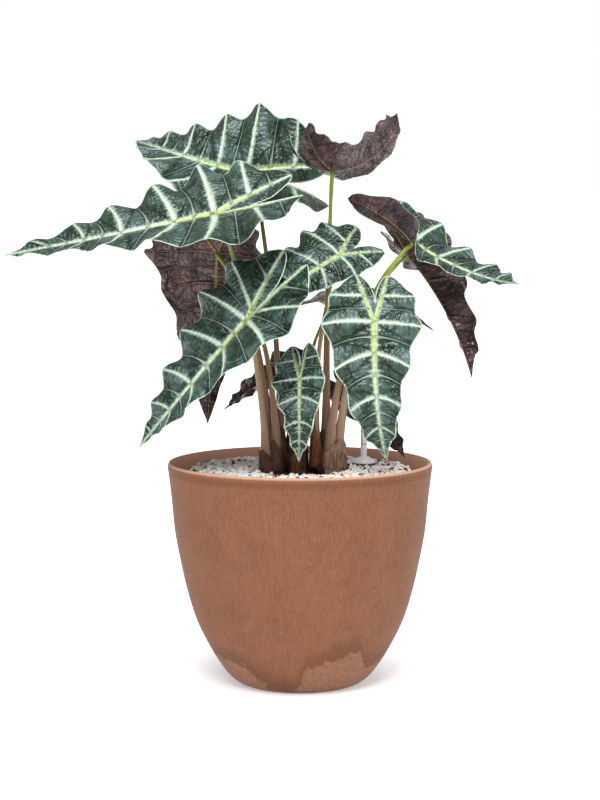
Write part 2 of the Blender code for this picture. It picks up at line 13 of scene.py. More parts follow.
import bpy
import numpy as np
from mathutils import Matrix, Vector

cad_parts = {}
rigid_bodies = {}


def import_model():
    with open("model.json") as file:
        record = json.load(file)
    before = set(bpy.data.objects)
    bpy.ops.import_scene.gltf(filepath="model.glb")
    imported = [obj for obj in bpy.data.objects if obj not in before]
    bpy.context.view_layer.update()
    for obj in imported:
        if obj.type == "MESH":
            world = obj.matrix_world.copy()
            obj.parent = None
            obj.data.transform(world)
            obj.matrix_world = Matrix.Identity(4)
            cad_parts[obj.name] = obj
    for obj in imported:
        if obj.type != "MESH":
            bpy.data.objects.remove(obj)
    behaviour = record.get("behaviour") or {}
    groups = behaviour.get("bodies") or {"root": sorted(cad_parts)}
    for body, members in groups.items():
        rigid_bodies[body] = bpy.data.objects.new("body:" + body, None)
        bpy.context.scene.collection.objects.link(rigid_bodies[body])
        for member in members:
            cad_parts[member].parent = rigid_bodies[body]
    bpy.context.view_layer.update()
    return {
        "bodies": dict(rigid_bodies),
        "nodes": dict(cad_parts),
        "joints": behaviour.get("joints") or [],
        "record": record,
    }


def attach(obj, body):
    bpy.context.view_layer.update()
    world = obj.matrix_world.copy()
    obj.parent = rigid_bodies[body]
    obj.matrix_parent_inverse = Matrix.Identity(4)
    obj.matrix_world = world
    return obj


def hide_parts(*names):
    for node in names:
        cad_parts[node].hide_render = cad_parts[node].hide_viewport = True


LOG = logging.getLogger("potted_alocasia")
MM = 0.001
ROOT = "root"
SEED = 20
Socket = bpy.types.NodeSocket
Value = Socket | float | tuple


class Face(Enum):
    """Which side of a leaf mostly shows."""

    GREEN = "green"
    PURPLE = "purple"


LEAF_PURPLE = Face.PURPLE


@dataclass(frozen=True)
class Blade:
    """How one arrow-shaped leaf blade sits and bends; lengths in millimetres, angles in degrees."""

    name: str
    junction: tuple
    heading: float
    pitch: float
    roll: float
    length: float
    width: float = 1.0
    back: float = 1.0
    left: float = 1.0
    gather: float = 1.0
    branch: float = 0.55
    droop: float = 20.0
    back_droop: float = 5.0
    sway: float = 0.0
    twist: float = 0.0
    back_twist: float = 0.0
    fold: tuple = (12, 12)
    back_fold: tuple = (12, 12)
    splay: tuple = (0, 0)
    curl: float = -8.0
    wave: float = 0.035
    finish: Face = Face.GREEN


@dataclass(frozen=True)
class Stalk:
    """A petiole: where it stands, the points it bends through (millimetres) and its radii."""

    blade: str
    foot: tuple
    through: tuple
    foot_radius: float
    top_radius: float


# Not set by hand: a least-squares program fitted and printed 188 of these 223 values, from picked landmarks.
# The other 35 were changed afterwards. The table is still to be replaced by a hand-set one.
BLADES = (
    Blade("front_left", junction=(-65, -80, 462), heading=190, pitch=-48, roll=-29,
          length=199, width=1.21, back=1.06, left=0.96, gather=1.02, branch=0.15,
          droop=16, back_droop=6, sway=-16, twist=-4, back_twist=-7,
          fold=(20, 11), back_fold=(9, 13), splay=(-10, 1), curl=-11, wave=0.037),
    Blade("front_right", junction=(90, -90, 461), heading=265, pitch=-67, roll=-4,
          length=168, width=1.02, back=0.79, left=0.94, gather=1.08,
          droop=47, back_droop=21, sway=10, twist=12, back_twist=-3,
          fold=(10, 16), back_fold=(12, 16), splay=(-4, 3), curl=-9),
    Blade("front_small", junction=(0, -75, 390), heading=268, pitch=-65, roll=14,
          length=98, width=1.02, back=1.02, left=1.02, gather=1.07,
          droop=31, back_droop=15, sway=-8, twist=-3, back_twist=6,
          fold=(14, 10), back_fold=(26, 8), splay=(-2, 1)),
    Blade("centre", junction=(49, -30, 539), heading=210, pitch=-24, roll=-35,
          length=134, width=1.13, back=0.91, left=0.79, gather=1.06, branch=0.4,
          droop=27, back_droop=16, sway=-4, twist=-5, back_twist=-2,
          fold=(4, 4), back_fold=(5, 8), splay=(10, 8), curl=-19, wave=0.030),
    Blade("long_left", junction=(-105, -40, 590), heading=180, pitch=-12, roll=-25,
          length=256, width=1.14, back=0.91, left=1.02, gather=0.90, branch=0.45,
          droop=4, back_droop=-4, sway=-11, twist=-5, back_twist=5,
          fold=(15, 10), back_fold=(7, 14), splay=(-12, 5), curl=-7, wave=0.034),
    Blade("top_back", junction=(-68, 70, 640), heading=157, pitch=10, roll=-71,
          length=200, width=1.30, back=1.17, left=1.03,
          droop=29, back_droop=60, sway=-22, twist=35, back_twist=3,
          fold=(35, 4), back_fold=(60, 4), splay=(-12, 6), curl=-6, wave=0.039),
    Blade("top_right", junction=(40, 30, 642), heading=8, pitch=1, roll=-21,
          length=140, width=0.98, back=1.28, left=0.74, gather=1.08,
          droop=-88, back_droop=-79, sway=-8, twist=-66, back_twist=-5,
          fold=(4, 4), back_fold=(19, 19), splay=(-4, 24), curl=-6, wave=0.010,
          finish=LEAF_PURPLE),
    Blade("left_dark", junction=(-105, 60, 538), heading=95, pitch=-58, roll=4,
          length=222, width=0.93, back=0.75, left=1.25, gather=0.95,
          droop=37, back_droop=38, sway=2, twist=2,
          fold=(16, 8), back_fold=(6, 6), splay=(9, 2), curl=-14, wave=0.030,
          finish=LEAF_PURPLE),
    Blade("right_arch", junction=(141, 20, 553), heading=344, pitch=-33, roll=15,
          length=163, width=0.93, back=1.26, left=1.16, gather=1.08,
          droop=-40, back_droop=21, sway=-28, twist=16,
          fold=(6, 9), back_fold=(23, 80), splay=(0, 5), curl=-6),
    Blade("right_droop", junction=(138, 78, 533), heading=326, pitch=-45, roll=-78,
          length=189, width=0.85, back=0.75, left=1.00, gather=1.08,
          droop=28, back_droop=11, sway=5, twist=-11, back_twist=8,
          fold=(62, 44), back_fold=(40, 36), splay=(14, -7), curl=-2, wave=0.040,
          finish=LEAF_PURPLE),
    Blade("back_right", junction=(45, 78, 478), heading=7, pitch=1, roll=-18,
          length=129, back=0.82, droop=37, back_droop=26, back_twist=8,
          fold=(14, 14), back_fold=(15, 6), finish=LEAF_PURPLE),
    Blade("low_left", junction=(-21, 85, 385), heading=194, pitch=-21, roll=56,
          length=96, width=1.02, left=0.97, gather=1.08,
          droop=31, sway=8, twist=-8, fold=(9, 23), back_fold=(14, 14), finish=LEAF_PURPLE),
    Blade("low_right", junction=(66, 62, 357), heading=359, pitch=-41, roll=-62,
          length=101, width=1.02, back=0.86, gather=1.08,
          droop=17, back_droop=1, sway=9, fold=(14, 14), back_fold=(13, 16), finish=LEAF_PURPLE),
)

STALKS = (
    Stalk("front_left", (-42, -7), ((-45, -7, 330), (-54, -20, 400), (-60, -45, 452)), 4.2, 2.2),
    Stalk("long_left", (-37, 7), ((-40, 10, 340), (-55, 12, 430), (-86, -2, 545), (-99, -18, 573)), 4.6, 2.2),
    Stalk("left_dark", (-29, -5), ((-31, 2, 330), (-44, 22, 420), (-72, 34, 490), (-96, 50, 524)), 4.4, 2.2),
    Stalk("top_back", (-24, 9), ((-25, 16, 340), (-32, 28, 450), (-46, 60, 560), (-56, 88, 620)), 4.4, 2.3),
    Stalk("front_small", (-1, -15), ((-1, -18, 320), (0, -30, 365), (0, -52, 385)), 3.2, 1.6),
    Stalk("low_left", (-10, 8), ((-10, 16, 320), (-12, 40, 350), (-17, 66, 370)), 3.4, 1.7),
    Stalk("back_right", (3, 6), ((5, 16, 340), (14, 36, 410), (32, 62, 456)), 3.6, 1.8),
    Stalk("centre", (20, -5), ((20, -4, 340), (24, -4, 420), (36, -8, 490), (44, -14, 520)), 4.2, 2.1),
    Stalk("top_right", (33, 5), ((33, 8, 360), (34, 14, 450), (37, 22, 560), (39, 28, 615)), 5.4, 2.4),
    Stalk("right_arch", (37, -10), ((42, -9, 340), (60, -2, 420), (98, 6, 500), (128, 14, 540)), 5.0, 2.5),
    Stalk("front_right", (49, -4), ((50, -6, 325), (61, -18, 395), (76, -44, 445), (86, -68, 460)), 4.2, 2.2),
    Stalk("right_droop", (46, 11), ((56, 16, 350), (74, 28, 430), (100, 44, 494), (124, 60, 524)), 4.4, 2.1),
    Stalk("low_right", (34, 20), ((37, 28, 320), (46, 42, 345), (57, 54, 350)), 3.2, 1.6),
)

# margin of half a blade in shares of its length: x along the midrib, y outwards; back lobe to tip
LOBES = ((-0.46, 0.12), (-0.21, 0.31), (0.05, 0.36), (0.32, 0.275), (0.58, 0.19), (0.78, 0.115),
         (0.92, 0.052), (1.05, 0.0))
# where the rib of each lobe leaves: back rib from -1 to 0, midrib from 0 to 1
RIBS = (-1.0, -0.55, 0.0, 0.2, 0.48, 0.68, 0.86, 1.0)
NOTCHES = (0.012, 0.042, 0.048, 0.042, 0.024, 0.006, 0.0)
SINUS = -0.20
JOINED = 0.45
BLUNT = 0.036


# ---- curves and meshes -----------------------------------------------------------------------------
def smooth_curve(points: Sequence, at: np.ndarray) -> np.ndarray:
    """Catmull-Rom curve through points.

    Args:
        points: the points it passes through.
        at: parameters from 0 to the number of points less one.

    Returns:
        One point per parameter.
    """
    p = np.asarray(points, float)
    ends = np.vstack([2 * p[0] - p[1], p, 2 * p[-1] - p[-2]])
    i = np.clip(np.floor(at).astype(int), 0, len(p) - 2)
    u = (at - i)[:, None]
    a, b, c, d = ends[i], ends[i + 1], ends[i + 2], ends[i + 3]
    return 0.5 * (2 * b + (c - a) * u + (2 * a - 5 * b + 4 * c - d) * u ** 2
                  + (3 * b - a - 3 * c + d) * u ** 3)


def turned_about(vector: np.ndarray, axis: np.ndarray, angle: float) -> np.ndarray:
    """A vector turned about a unit axis."""
    return (vector * math.cos(angle) + np.cross(axis, vector) * math.sin(angle)
            + axis * (axis @ vector) * (1 - math.cos(angle)))


def ease(x: np.ndarray | float, low: float, high: float) -> np.ndarray | float:
    """Smooth step from 0 at low to 1 at high."""
    t = np.clip((x - low) / (high - low), 0, 1)
    return t * t * (3 - 2 * t)


def mesh_object(name: str, points: Sequence, faces: Sequence, materials: list,
                smooth: bool = True) -> bpy.types.Object:
    """A mesh object in the scene.

    Args:
        name: the object's name.
        points: vertex positions.
        faces: vertex rings.
        materials: the materials its faces may use.
        smooth: whether it is shaded smooth.

    Returns:
        The new object.
    """
    mesh = bpy.data.meshes.new(name)
    mesh.from_pydata([tuple(map(float, p)) for p in points], [], [tuple(map(int, f)) for f in faces])
    mesh.update()
    for material in materials:
        mesh.materials.append(material)
    mesh.polygons.foreach_set("use_smooth", [smooth] * len(mesh.polygons))
    item = bpy.data.objects.new(name, mesh)
    bpy.context.scene.collection.objects.link(item)
    return item


def add_values(item: bpy.types.Object, name: str, values: np.ndarray) -> None:
    """Store a number or a vector on every vertex, for the materials to read.

    Args:
        item: the object.
        name: what the materials call the values.
        values: one number or one vector per vertex.
    """
    kind = "FLOAT_VECTOR" if values.ndim == 2 else "FLOAT"
    attribute = item.data.attributes.new(name, kind, "POINT")
    key = "vector" if values.ndim == 2 else "value"
    attribute.data.foreach_set(key, np.ascontiguousarray(values, np.float32).ravel())


def turned_mesh(profile: Sequence, sides: int, centre: tuple = (0.0, 0.0)) -> tuple:
    """A body of revolution from an outline that runs down the outside and back up the inside.

    Args:
        profile: (radius, height) pairs; the outline is closed unless both ends are on the axis.
        sides: how many steps go round.
        centre: where the axis stands.

    Returns:
        Points and faces.
    """
    points, faces, rings = [], [], []
    turns = [2 * math.pi * k / sides for k in range(sides)]
    for radius, height in profile:
        if radius < 1e-7:
            rings.append([len(points)] * sides)
            points.append((centre[0], centre[1], height))
        else:
            rings.append(list(range(len(points), len(points) + sides)))
            points += [(centre[0] + radius * math.cos(t), centre[1] + radius * math.sin(t), height)
                       for t in turns]
    pairs = list(zip(rings, rings[1:]))
    if profile[0][0] > 1e-7 or profile[-1][0] > 1e-7:
        pairs.append((rings[-1], rings[0]))
    for upper, lower in pairs:
        for k in range(sides):
            n = (k + 1) % sides
            ring = [upper[k], lower[k], lower[n], upper[n]]
            ring = [v for i, v in enumerate(ring) if v not in ring[:i]]
            if len(ring) > 2:
                faces.append(ring)
    return points, faces


def tube_mesh(route: np.ndarray, radii: np.ndarray, sides: int,
              first_side: tuple = (0.0, 1.0, 0.0)) -> tuple:
    """A round closed tube along a route.

    Args:
        route: points along the middle.
        radii: the radius at each point, or one radius per point and side.
        sides: how many steps go round.
        first_side: a direction that isn't along the route, where the first side lies.

    Returns:
        Points, faces, and per point the share of the way along and the turn round it.
    """
    route = np.asarray(route, float)
    along = np.gradient(route, axis=0)
    along /= np.linalg.norm(along, axis=1, keepdims=True)
    radii = np.asarray(radii, float)
    if radii.ndim == 1:
        radii = np.repeat(radii[:, None], sides, 1)
    side = np.asarray(first_side, float)
    steps = np.linalg.norm(np.diff(route, axis=0), axis=1)
    share = np.concatenate([[0.0], np.cumsum(steps)])
    length = share[-1]
    points, faces, shares, turns = [], [], [], []
    for k, spot in enumerate(route):
        side = side - along[k] * (side @ along[k])
        side /= np.linalg.norm(side)
        other = np.cross(along[k], side)
        for j in range(sides):
            turn = 2 * math.pi * j / sides
            points.append(spot + (side * math.cos(turn) + other * math.sin(turn)) * radii[k, j])
            shares.append(share[k] / length)
            turns.append(turn)
    for k in range(len(route) - 1):
        for j in range(sides):
            a, b = k * sides + j, k * sides + (j + 1) % sides
            faces.append([a, b, b + sides, a + sides])
    for end, ring in ((0, range(sides)), (-1, range(len(points) - sides, len(points)))):
        middle = len(points)
        points.append(route[end])
        shares.append(0.0 if end == 0 else 1.0)
        turns.append(0.0)
        ring = list(ring)
        for a, b in zip(ring, ring[1:] + ring[:1]):
            faces.append([middle, b, a] if end == 0 else [middle, a, b])
    return np.array(points), faces, np.array(shares), np.array(turns)


def wavy(x: np.ndarray, y: np.ndarray, rng: np.random.Generator, waves: int, longest: float) -> np.ndarray:
    """A smooth random height field about -1 to 1, made of a few sine waves.

    Args:
        x: first coordinate of each place.
        y: second coordinate of each place.
        rng: where the random draws come from.
        waves: how many waves are added up.
        longest: the longest wavelength, in the units of x and y.

    Returns:
        The height at each place.
    """
    total = np.zeros_like(x)
    for k in range(waves):
        turn = rng.uniform(0, 2 * math.pi)
        size = longest / (1 + 0.7 * k)
        start = rng.uniform(0, 2 * math.pi)
        phase = (x * math.cos(turn) + y * math.sin(turn)) * 2 * math.pi / size + start
        total += np.sin(phase) / (1 + 0.6 * k)
    return total / 1.8


# ---- material building -----------------------------------------------------------------------------
class Graph:
    """A node material under construction."""

    def __init__(self, name: str) -> None:
        """Start a material with its shader.

        Args:
            name: the material's name.
        """
        self.material = bpy.data.materials.new(name)
        self.material.use_nodes = True
        self.tree = self.material.node_tree
        self.shader = self.tree.nodes["Principled BSDF"]

    def node(self, kind: str, **settings: object) -> bpy.types.Node:
        """A new node with its settings.

        Args:
            kind: the node's type.
            settings: properties to set on it.

        Returns:
            The new node.
        """
        node = self.tree.nodes.new(kind)
        for key, value in settings.items():
            setattr(node, key, value)
        return node

    def put(self, socket: Socket, value: Value) -> None:
        """Link or set an input.

        Args:
            socket: the input.
            value: an output to link, or a plain value to set.
        """
        if isinstance(value, bpy.types.NodeSocket):
            self.tree.links.new(value, socket)
        elif isinstance(value, (tuple, list)) and len(value) == 3 and socket.type == "RGBA":
            socket.default_value = (*value, 1.0)
        else:
            socket.default_value = value

    def math(self, operation: str, a: Value, b: Value = 0.0, clamp: bool = False) -> Socket:
        """A math node's output.

        Args:
            operation: the sum to do.
            a: first value.
            b: second value.
            clamp: whether the result is kept between 0 and 1.

        Returns:
            The result.
        """
        node = self.node("ShaderNodeMath", operation=operation, use_clamp=clamp)
        self.put(node.inputs[0], a)
        self.put(node.inputs[1], b)
        return node.outputs[0]

    def mix(self, share: Value, a: Value, b: Value) -> Socket:
        """Colour a turned into colour b.

        Args:
            share: how far towards b, 0 to 1.
            a: the colour at 0.
            b: the colour at 1.

        Returns:
            The mixed colour.
        """
        node = self.node("ShaderNodeMix", data_type="RGBA")
        self.put(node.inputs[0], share)
        self.put(node.inputs[6], a)
        self.put(node.inputs[7], b)
        return node.outputs[2]

    def step(self, value: Value, low: float, high: float, first: float = 0.0, last: float = 1.0) -> Socket:
        """Smooth step of a value between two limits.

        Args:
            value: the value.
            low: where the step starts.
            high: where it ends.
            first: result below the start.
            last: result above the end.

        Returns:
            The result.
        """
        node = self.node("ShaderNodeMapRange", interpolation_type="SMOOTHSTEP", clamp=True)
        self.put(node.inputs["Value"], value)
        for key, limit in (("From Min", low), ("From Max", high), ("To Min", first), ("To Max", last)):
            self.put(node.inputs[key], limit)
        return node.outputs["Result"]

    def value(self, name: str) -> Socket:
        """A number stored on the mesh."""
        return self.node("ShaderNodeAttribute", attribute_name=name).outputs["Fac"]

    def vector(self, name: str) -> Socket:
        """A vector stored on the mesh."""
        return self.node("ShaderNodeAttribute", attribute_name=name).outputs["Vector"]

    def place(self) -> Socket:
        """Position in the object's own frame."""
        return self.node("ShaderNodeTexCoord").outputs["Object"]

    def scaled(self, vector: Value, scale: tuple) -> Socket:
        """A vector stretched along its axes.

        Args:
            vector: the vector.
            scale: the factor for each axis.

        Returns:
            The stretched vector.
        """
        node = self.node("ShaderNodeMapping")
        self.put(node.inputs["Vector"], vector)
        node.inputs["Scale"].default_value = scale
        return node.outputs["Vector"]

    def join(self, x: Value, y: Value = 0.0, z: Value = 0.0) -> Socket:
        """A vector from three numbers.

        Args:
            x: first number.
            y: second number.
            z: third number.

        Returns:
            The vector.
        """
        node = self.node("ShaderNodeCombineXYZ")
        for socket, value in zip(node.inputs, (x, y, z)):
            self.put(socket, value)
        return node.outputs[0]

    def split(self, vector: Value) -> Sequence:
        """The three numbers of a vector.

        Args:
            vector: the vector.

        Returns:
            Its three outputs.
        """
        node = self.node("ShaderNodeSeparateXYZ")
        self.put(node.inputs[0], vector)
        return node.outputs

    def noise(self, vector: Value, scale: float, detail: float = 3.0, rough: float = 0.55,
              warp: float = 0.0) -> Socket:
        """A noise value about 0.5.

        Args:
            vector: where the noise is read.
            scale: how fine it is.
            detail: how many finer layers are added.
            rough: how strong those layers are.
            warp: how much it is bent out of shape.

        Returns:
            The noise value.
        """
        node = self.node("ShaderNodeTexNoise")
        self.put(node.inputs["Vector"], vector)
        node.inputs["Scale"].default_value = scale
        node.inputs["Detail"].default_value = detail
        node.inputs["Roughness"].default_value = rough
        node.inputs["Distortion"].default_value = warp
        return node.outputs["Fac"]

    def cracks(self, vector: Value, scale: float) -> Socket:
        """Distance to the nearest edge of random cells.

        Args:
            vector: where the cells are read.
            scale: how small the cells are.

        Returns:
            The distance.
        """
        node = self.node("ShaderNodeTexVoronoi", feature="DISTANCE_TO_EDGE")
        self.put(node.inputs["Vector"], vector)
        node.inputs["Scale"].default_value = scale
        return node.outputs["Distance"]

    def ramp(self, value: Value, stops: tuple, steps: bool = False) -> Socket:
        """A colour ramp.

        Args:
            value: place on the ramp, 0 to 1.
            stops: (place, colour) pairs.
            steps: whether the colours change in hard steps.

        Returns:
            The colour.
        """
        node = self.node("ShaderNodeValToRGB")
        ramp = node.color_ramp
        ramp.interpolation = "CONSTANT" if steps else "LINEAR"
        while len(ramp.elements) < len(stops):
            ramp.elements.new(0.5)
        for element, (position, colour) in zip(ramp.elements, stops):
            element.position = position
            element.color = (*colour, 1.0)
        self.put(node.inputs[0], value)
        return node.outputs[0]

    def bump(self, height: Value, strength: float, distance: float) -> None:
        """Relief for the shader, from a height.

        Args:
            height: the height.
            strength: how much of it shows, 0 to 1.
            distance: how many metres a height of 1 stands for.
        """
        node = self.node("ShaderNodeBump")
        node.inputs["Strength"].default_value = strength
        node.inputs["Distance"].default_value = distance
        self.put(node.inputs["Height"], height)
        self.tree.links.new(node.outputs["Normal"], self.shader.inputs["Normal"])

    def finish(self, colour: Value, rough: Value, **constants: Value) -> bpy.types.Material:
        """Connect colour and roughness, set the constants, and return the material.

        Args:
            colour: base colour.
            rough: roughness.
            constants: other shader inputs by name, with _ for a space.

        Returns:
            The material.
        """
        self.put(self.shader.inputs["Base Color"], colour)
        self.put(self.shader.inputs["Roughness"], rough)
        for key, value in constants.items():
            self.put(self.shader.inputs[key.replace("_", " ")], value)
        return self.material


# ---- finishes --------------------------------------------------------------------------------------
@dataclass(frozen=True)
class LeafTop:
    """Deep green with feathered pale bands along the ribs, a pale margin, and painted grey-blue sheen patches
    that stand for reflections.
    """

    deep: tuple = (0.004, 0.020, 0.010)
    fresh: tuple = (0.016, 0.052, 0.030)
    # grey: painted sheen, the grey-blue colour of patches that stand for reflections of the studio light
    grey: tuple = (0.085, 0.150, 0.140)
    pale: tuple = (0.640, 0.800, 0.640)
    core: tuple = (0.480, 0.620, 0.130)
    margin: tuple = (0.560, 0.720, 0.560)
    rough: float = 0.24

    def build(self, name: str) -> bpy.types.Material:
        """The material, reading the leaf's stored distances.

        Args:
            name: the material's name.

        Returns:
            The material.
        """
        g = Graph(name)
        flat, vein, run = g.vector("flat"), g.value("vein"), g.value("run")
        reach, edge, core, away = g.value("reach"), g.value("edge"), g.value("core"), g.value("away")
        cloud = g.noise(flat, 0.045, 1.5, 0.5, 0.4)
        tone = g.mix(g.step(cloud, 0.36, 0.64), self.deep, self.fresh)
        # painted sheen: grey-blue patches in a noise pattern, standing for glossy reflections
        painted_sheen = g.step(g.noise(flat, 0.034, 2.0, 0.5, 0.8), 0.46, 0.70)
        tone = g.mix(g.math("MULTIPLY", painted_sheen, 0.80), tone, self.grey)
        along = g.join(g.math("MULTIPLY", run, 0.30), g.math("MULTIPLY", reach, 0.10),
                       g.math("MULTIPLY", away, 0.03))
        fringe = g.noise(along, 1.0, 3.0, 0.65)
        spikes = g.math("MULTIPLY", g.step(fringe, 0.46, 0.74), 1.35)
        fuzz = g.math("MULTIPLY", g.math("SUBTRACT", g.noise(flat, 0.8, 3.0, 0.7), 0.5), 0.9)
        width = g.math("ADD", g.math("ADD", 0.95, spikes), fuzz)
        over = g.math("DIVIDE", vein, width)
        band = g.math("ADD", g.step(vein, 0.35, 0.95, 0.55, 0.0), g.step(over, 0.45, 1.20, 0.45, 0.0))
        slant = g.math("ADD", g.math("MULTIPLY", run, 0.155), g.math("MULTIPLY", reach, -0.055))
        bent = g.math("ADD", slant, g.math("MULTIPLY", g.noise(flat, 0.10, 2.0), 1.1))
        off = g.math("ABSOLUTE", g.math("SUBTRACT", g.math("FRACT", bent), 0.5))
        thread = g.step(off, 0.0, 0.10, 1.0, 0.0)
        fade = g.step(reach, 3.0, 16.0, 1.0, 0.08)
        patchy = g.step(g.noise(flat, 0.16, 2.0), 0.44, 0.62, 0.05, 1.0)
        thread = g.math("MULTIPLY", g.math("MULTIPLY", thread, fade), patchy)
        tone = g.mix(g.math("MULTIPLY", thread, 0.30), tone, self.pale)
        dim = g.step(away, 60.0, 190.0, 0.97, 0.84)
        tone = g.mix(g.math("MULTIPLY", band, dim), tone, self.pale)
        middle = g.step(core, 0.12, 0.62, 1.0, 0.0)
        near = g.step(away, 10.0, 125.0, 1.0, 0.12)
        tone = g.mix(g.math("MULTIPLY", middle, near), tone, self.core)
        tone = g.mix(g.step(edge, 0.9, 1.9, 0.95, 0.0), tone, self.margin)
        pillow = g.step(off, 0.0, 0.40, 0.0, 1.0)
        ribbed = g.step(vein, 0.0, 0.9)
        relief = g.math("ADD", ribbed, g.math("MULTIPLY", g.noise(flat, 0.075, 2.0, 0.5, 0.6), 2.6))
        relief = g.math("ADD", relief, g.math("MULTIPLY", pillow, 0.30))
        g.bump(relief, 0.9, 0.0024)
        return g.finish(tone, self.rough, Specular_IOR_Level=0.5)


@dataclass(frozen=True)
class LeafUnder:
    """Satin purple-brown with darker fine veins, an orange-yellow rib near the stalk, and lighter clouds that
    are partly painted sheen.
    """

    deep: tuple = (0.036, 0.016, 0.019)
    # light: lighter purple for the clouds, partly the blade's own mottling and partly painted sheen
    light: tuple = (0.130, 0.074, 0.074)
    rib: tuple = (0.300, 0.190, 0.045)
    rough: float = 0.26

    def build(self, name: str) -> bpy.types.Material:
        """The material, reading the leaf's stored distances.

        Args:
            name: the material's name.

        Returns:
            The material.
        """
        g = Graph(name)
        flat, vein, run = g.vector("flat"), g.value("vein"), g.value("run")
        reach, edge, core, away = g.value("reach"), g.value("edge"), g.value("core"), g.value("away")
        # lighter clouds: partly the blade's own mottling, partly painted sheen standing for satin highlights
        cloud = g.noise(flat, 0.034, 1.5, 0.5, 0.4)
        tone = g.mix(g.step(cloud, 0.34, 0.70), self.deep, self.light)
        bent = g.math("ADD", g.math("MULTIPLY", run, 0.16), g.math("MULTIPLY", g.noise(flat, 0.12, 2.0), 1.2))
        bent = g.math("ADD", bent, g.math("MULTIPLY", reach, -0.05))
        off = g.math("ABSOLUTE", g.math("SUBTRACT", g.math("FRACT", bent), 0.5))
        thread = g.step(off, 0.0, 0.12, 1.0, 0.0)
        tone = g.mix(g.math("MULTIPLY", thread, 0.3), tone, self.deep)
        side_rib = g.step(vein, 0.05, 0.26, 0.55, 0.0)
        middle = g.step(core, 0.08, 0.30, 1.0, 0.0)
        near = g.step(away, 15.0, 110.0, 1.0, 0.25)
        tone = g.mix(g.math("MULTIPLY", side_rib, near), tone, self.rib)
        tone = g.mix(g.math("MULTIPLY", middle, near), tone, self.rib)
        tone = g.mix(g.step(edge, 0.3, 0.9, 0.25, 0.0), tone, (0.20, 0.26, 0.14))
        relief = g.math("ADD", g.step(vein, 0.0, 0.9, 1.0, 0.0), g.math("MULTIPLY", thread, 0.4))
        relief = g.math("ADD", relief, g.math("MULTIPLY", g.noise(flat, 0.050, 2.0, 0.5, 0.5), 5.0))
        g.bump(relief, 1.0, 0.0030)
        return g.finish(tone, self.rough, Specular_IOR_Level=0.5)


@dataclass(frozen=True)
class StalkSkin:
    """Brown and mottled at the foot, olive half way, bright yellow-green at the top."""

    foot: tuple = (0.150, 0.078, 0.050)
    low: tuple = (0.290, 0.160, 0.095)
    olive: tuple = (0.250, 0.170, 0.065)
    top: tuple = (0.170, 0.220, 0.018)
    turn: float = 0.62

    def build(self, name: str) -> bpy.types.Material:
        """The material, reading the share of the way up.

        Args:
            name: the material's name.

        Returns:
            The material.
        """
        g = Graph(name)
        up, around = g.value("up"), g.vector("around")
        speckle = g.noise(g.scaled(around, (1.0, 0.22, 1.0)), 0.9, 4.0, 0.65)
        mottled = g.math("ADD", up, g.math("MULTIPLY", g.math("SUBTRACT", speckle, 0.5), 0.35))
        tone = g.ramp(mottled, ((0.0, self.foot), (0.22, self.low), (self.turn, self.olive),
                                (min(self.turn + 0.25, 0.98), self.top)))
        bars = g.step(g.noise(g.scaled(around, (0.5, 1.3, 1.0)), 0.55, 3.0, 0.6), 0.54, 0.66)
        tone = g.mix(g.math("MULTIPLY", bars, g.step(up, 0.35, 0.85, 0.35, 0.0)), tone, self.foot)
        lines = g.noise(g.scaled(around, (2.2, 0.05, 1.0)), 1.0, 2.0)
        g.bump(lines, 0.25, 0.0006)
        return g.finish(tone, 0.34, Specular_IOR_Level=0.60)


@dataclass(frozen=True)
class DryFibre:
    """Dry leaf base: streaked brown fibre."""

    dark: tuple = (0.045, 0.018, 0.009)
    light: tuple = (0.210, 0.095, 0.040)

    def build(self, name: str) -> bpy.types.Material:
        """The material, streaked upwards.

        Args:
            name: the material's name.

        Returns:
            The material.
        """
        g = Graph(name)
        streak = g.noise(g.scaled(g.place(), (900.0, 900.0, 60.0)), 1.0, 4.0, 0.7)
        tone = g.mix(g.step(streak, 0.36, 0.66), self.dark, self.light)
        g.bump(streak, 0.6, 0.0008)
        return g.finish(tone, 0.55, Specular_IOR_Level=0.35)


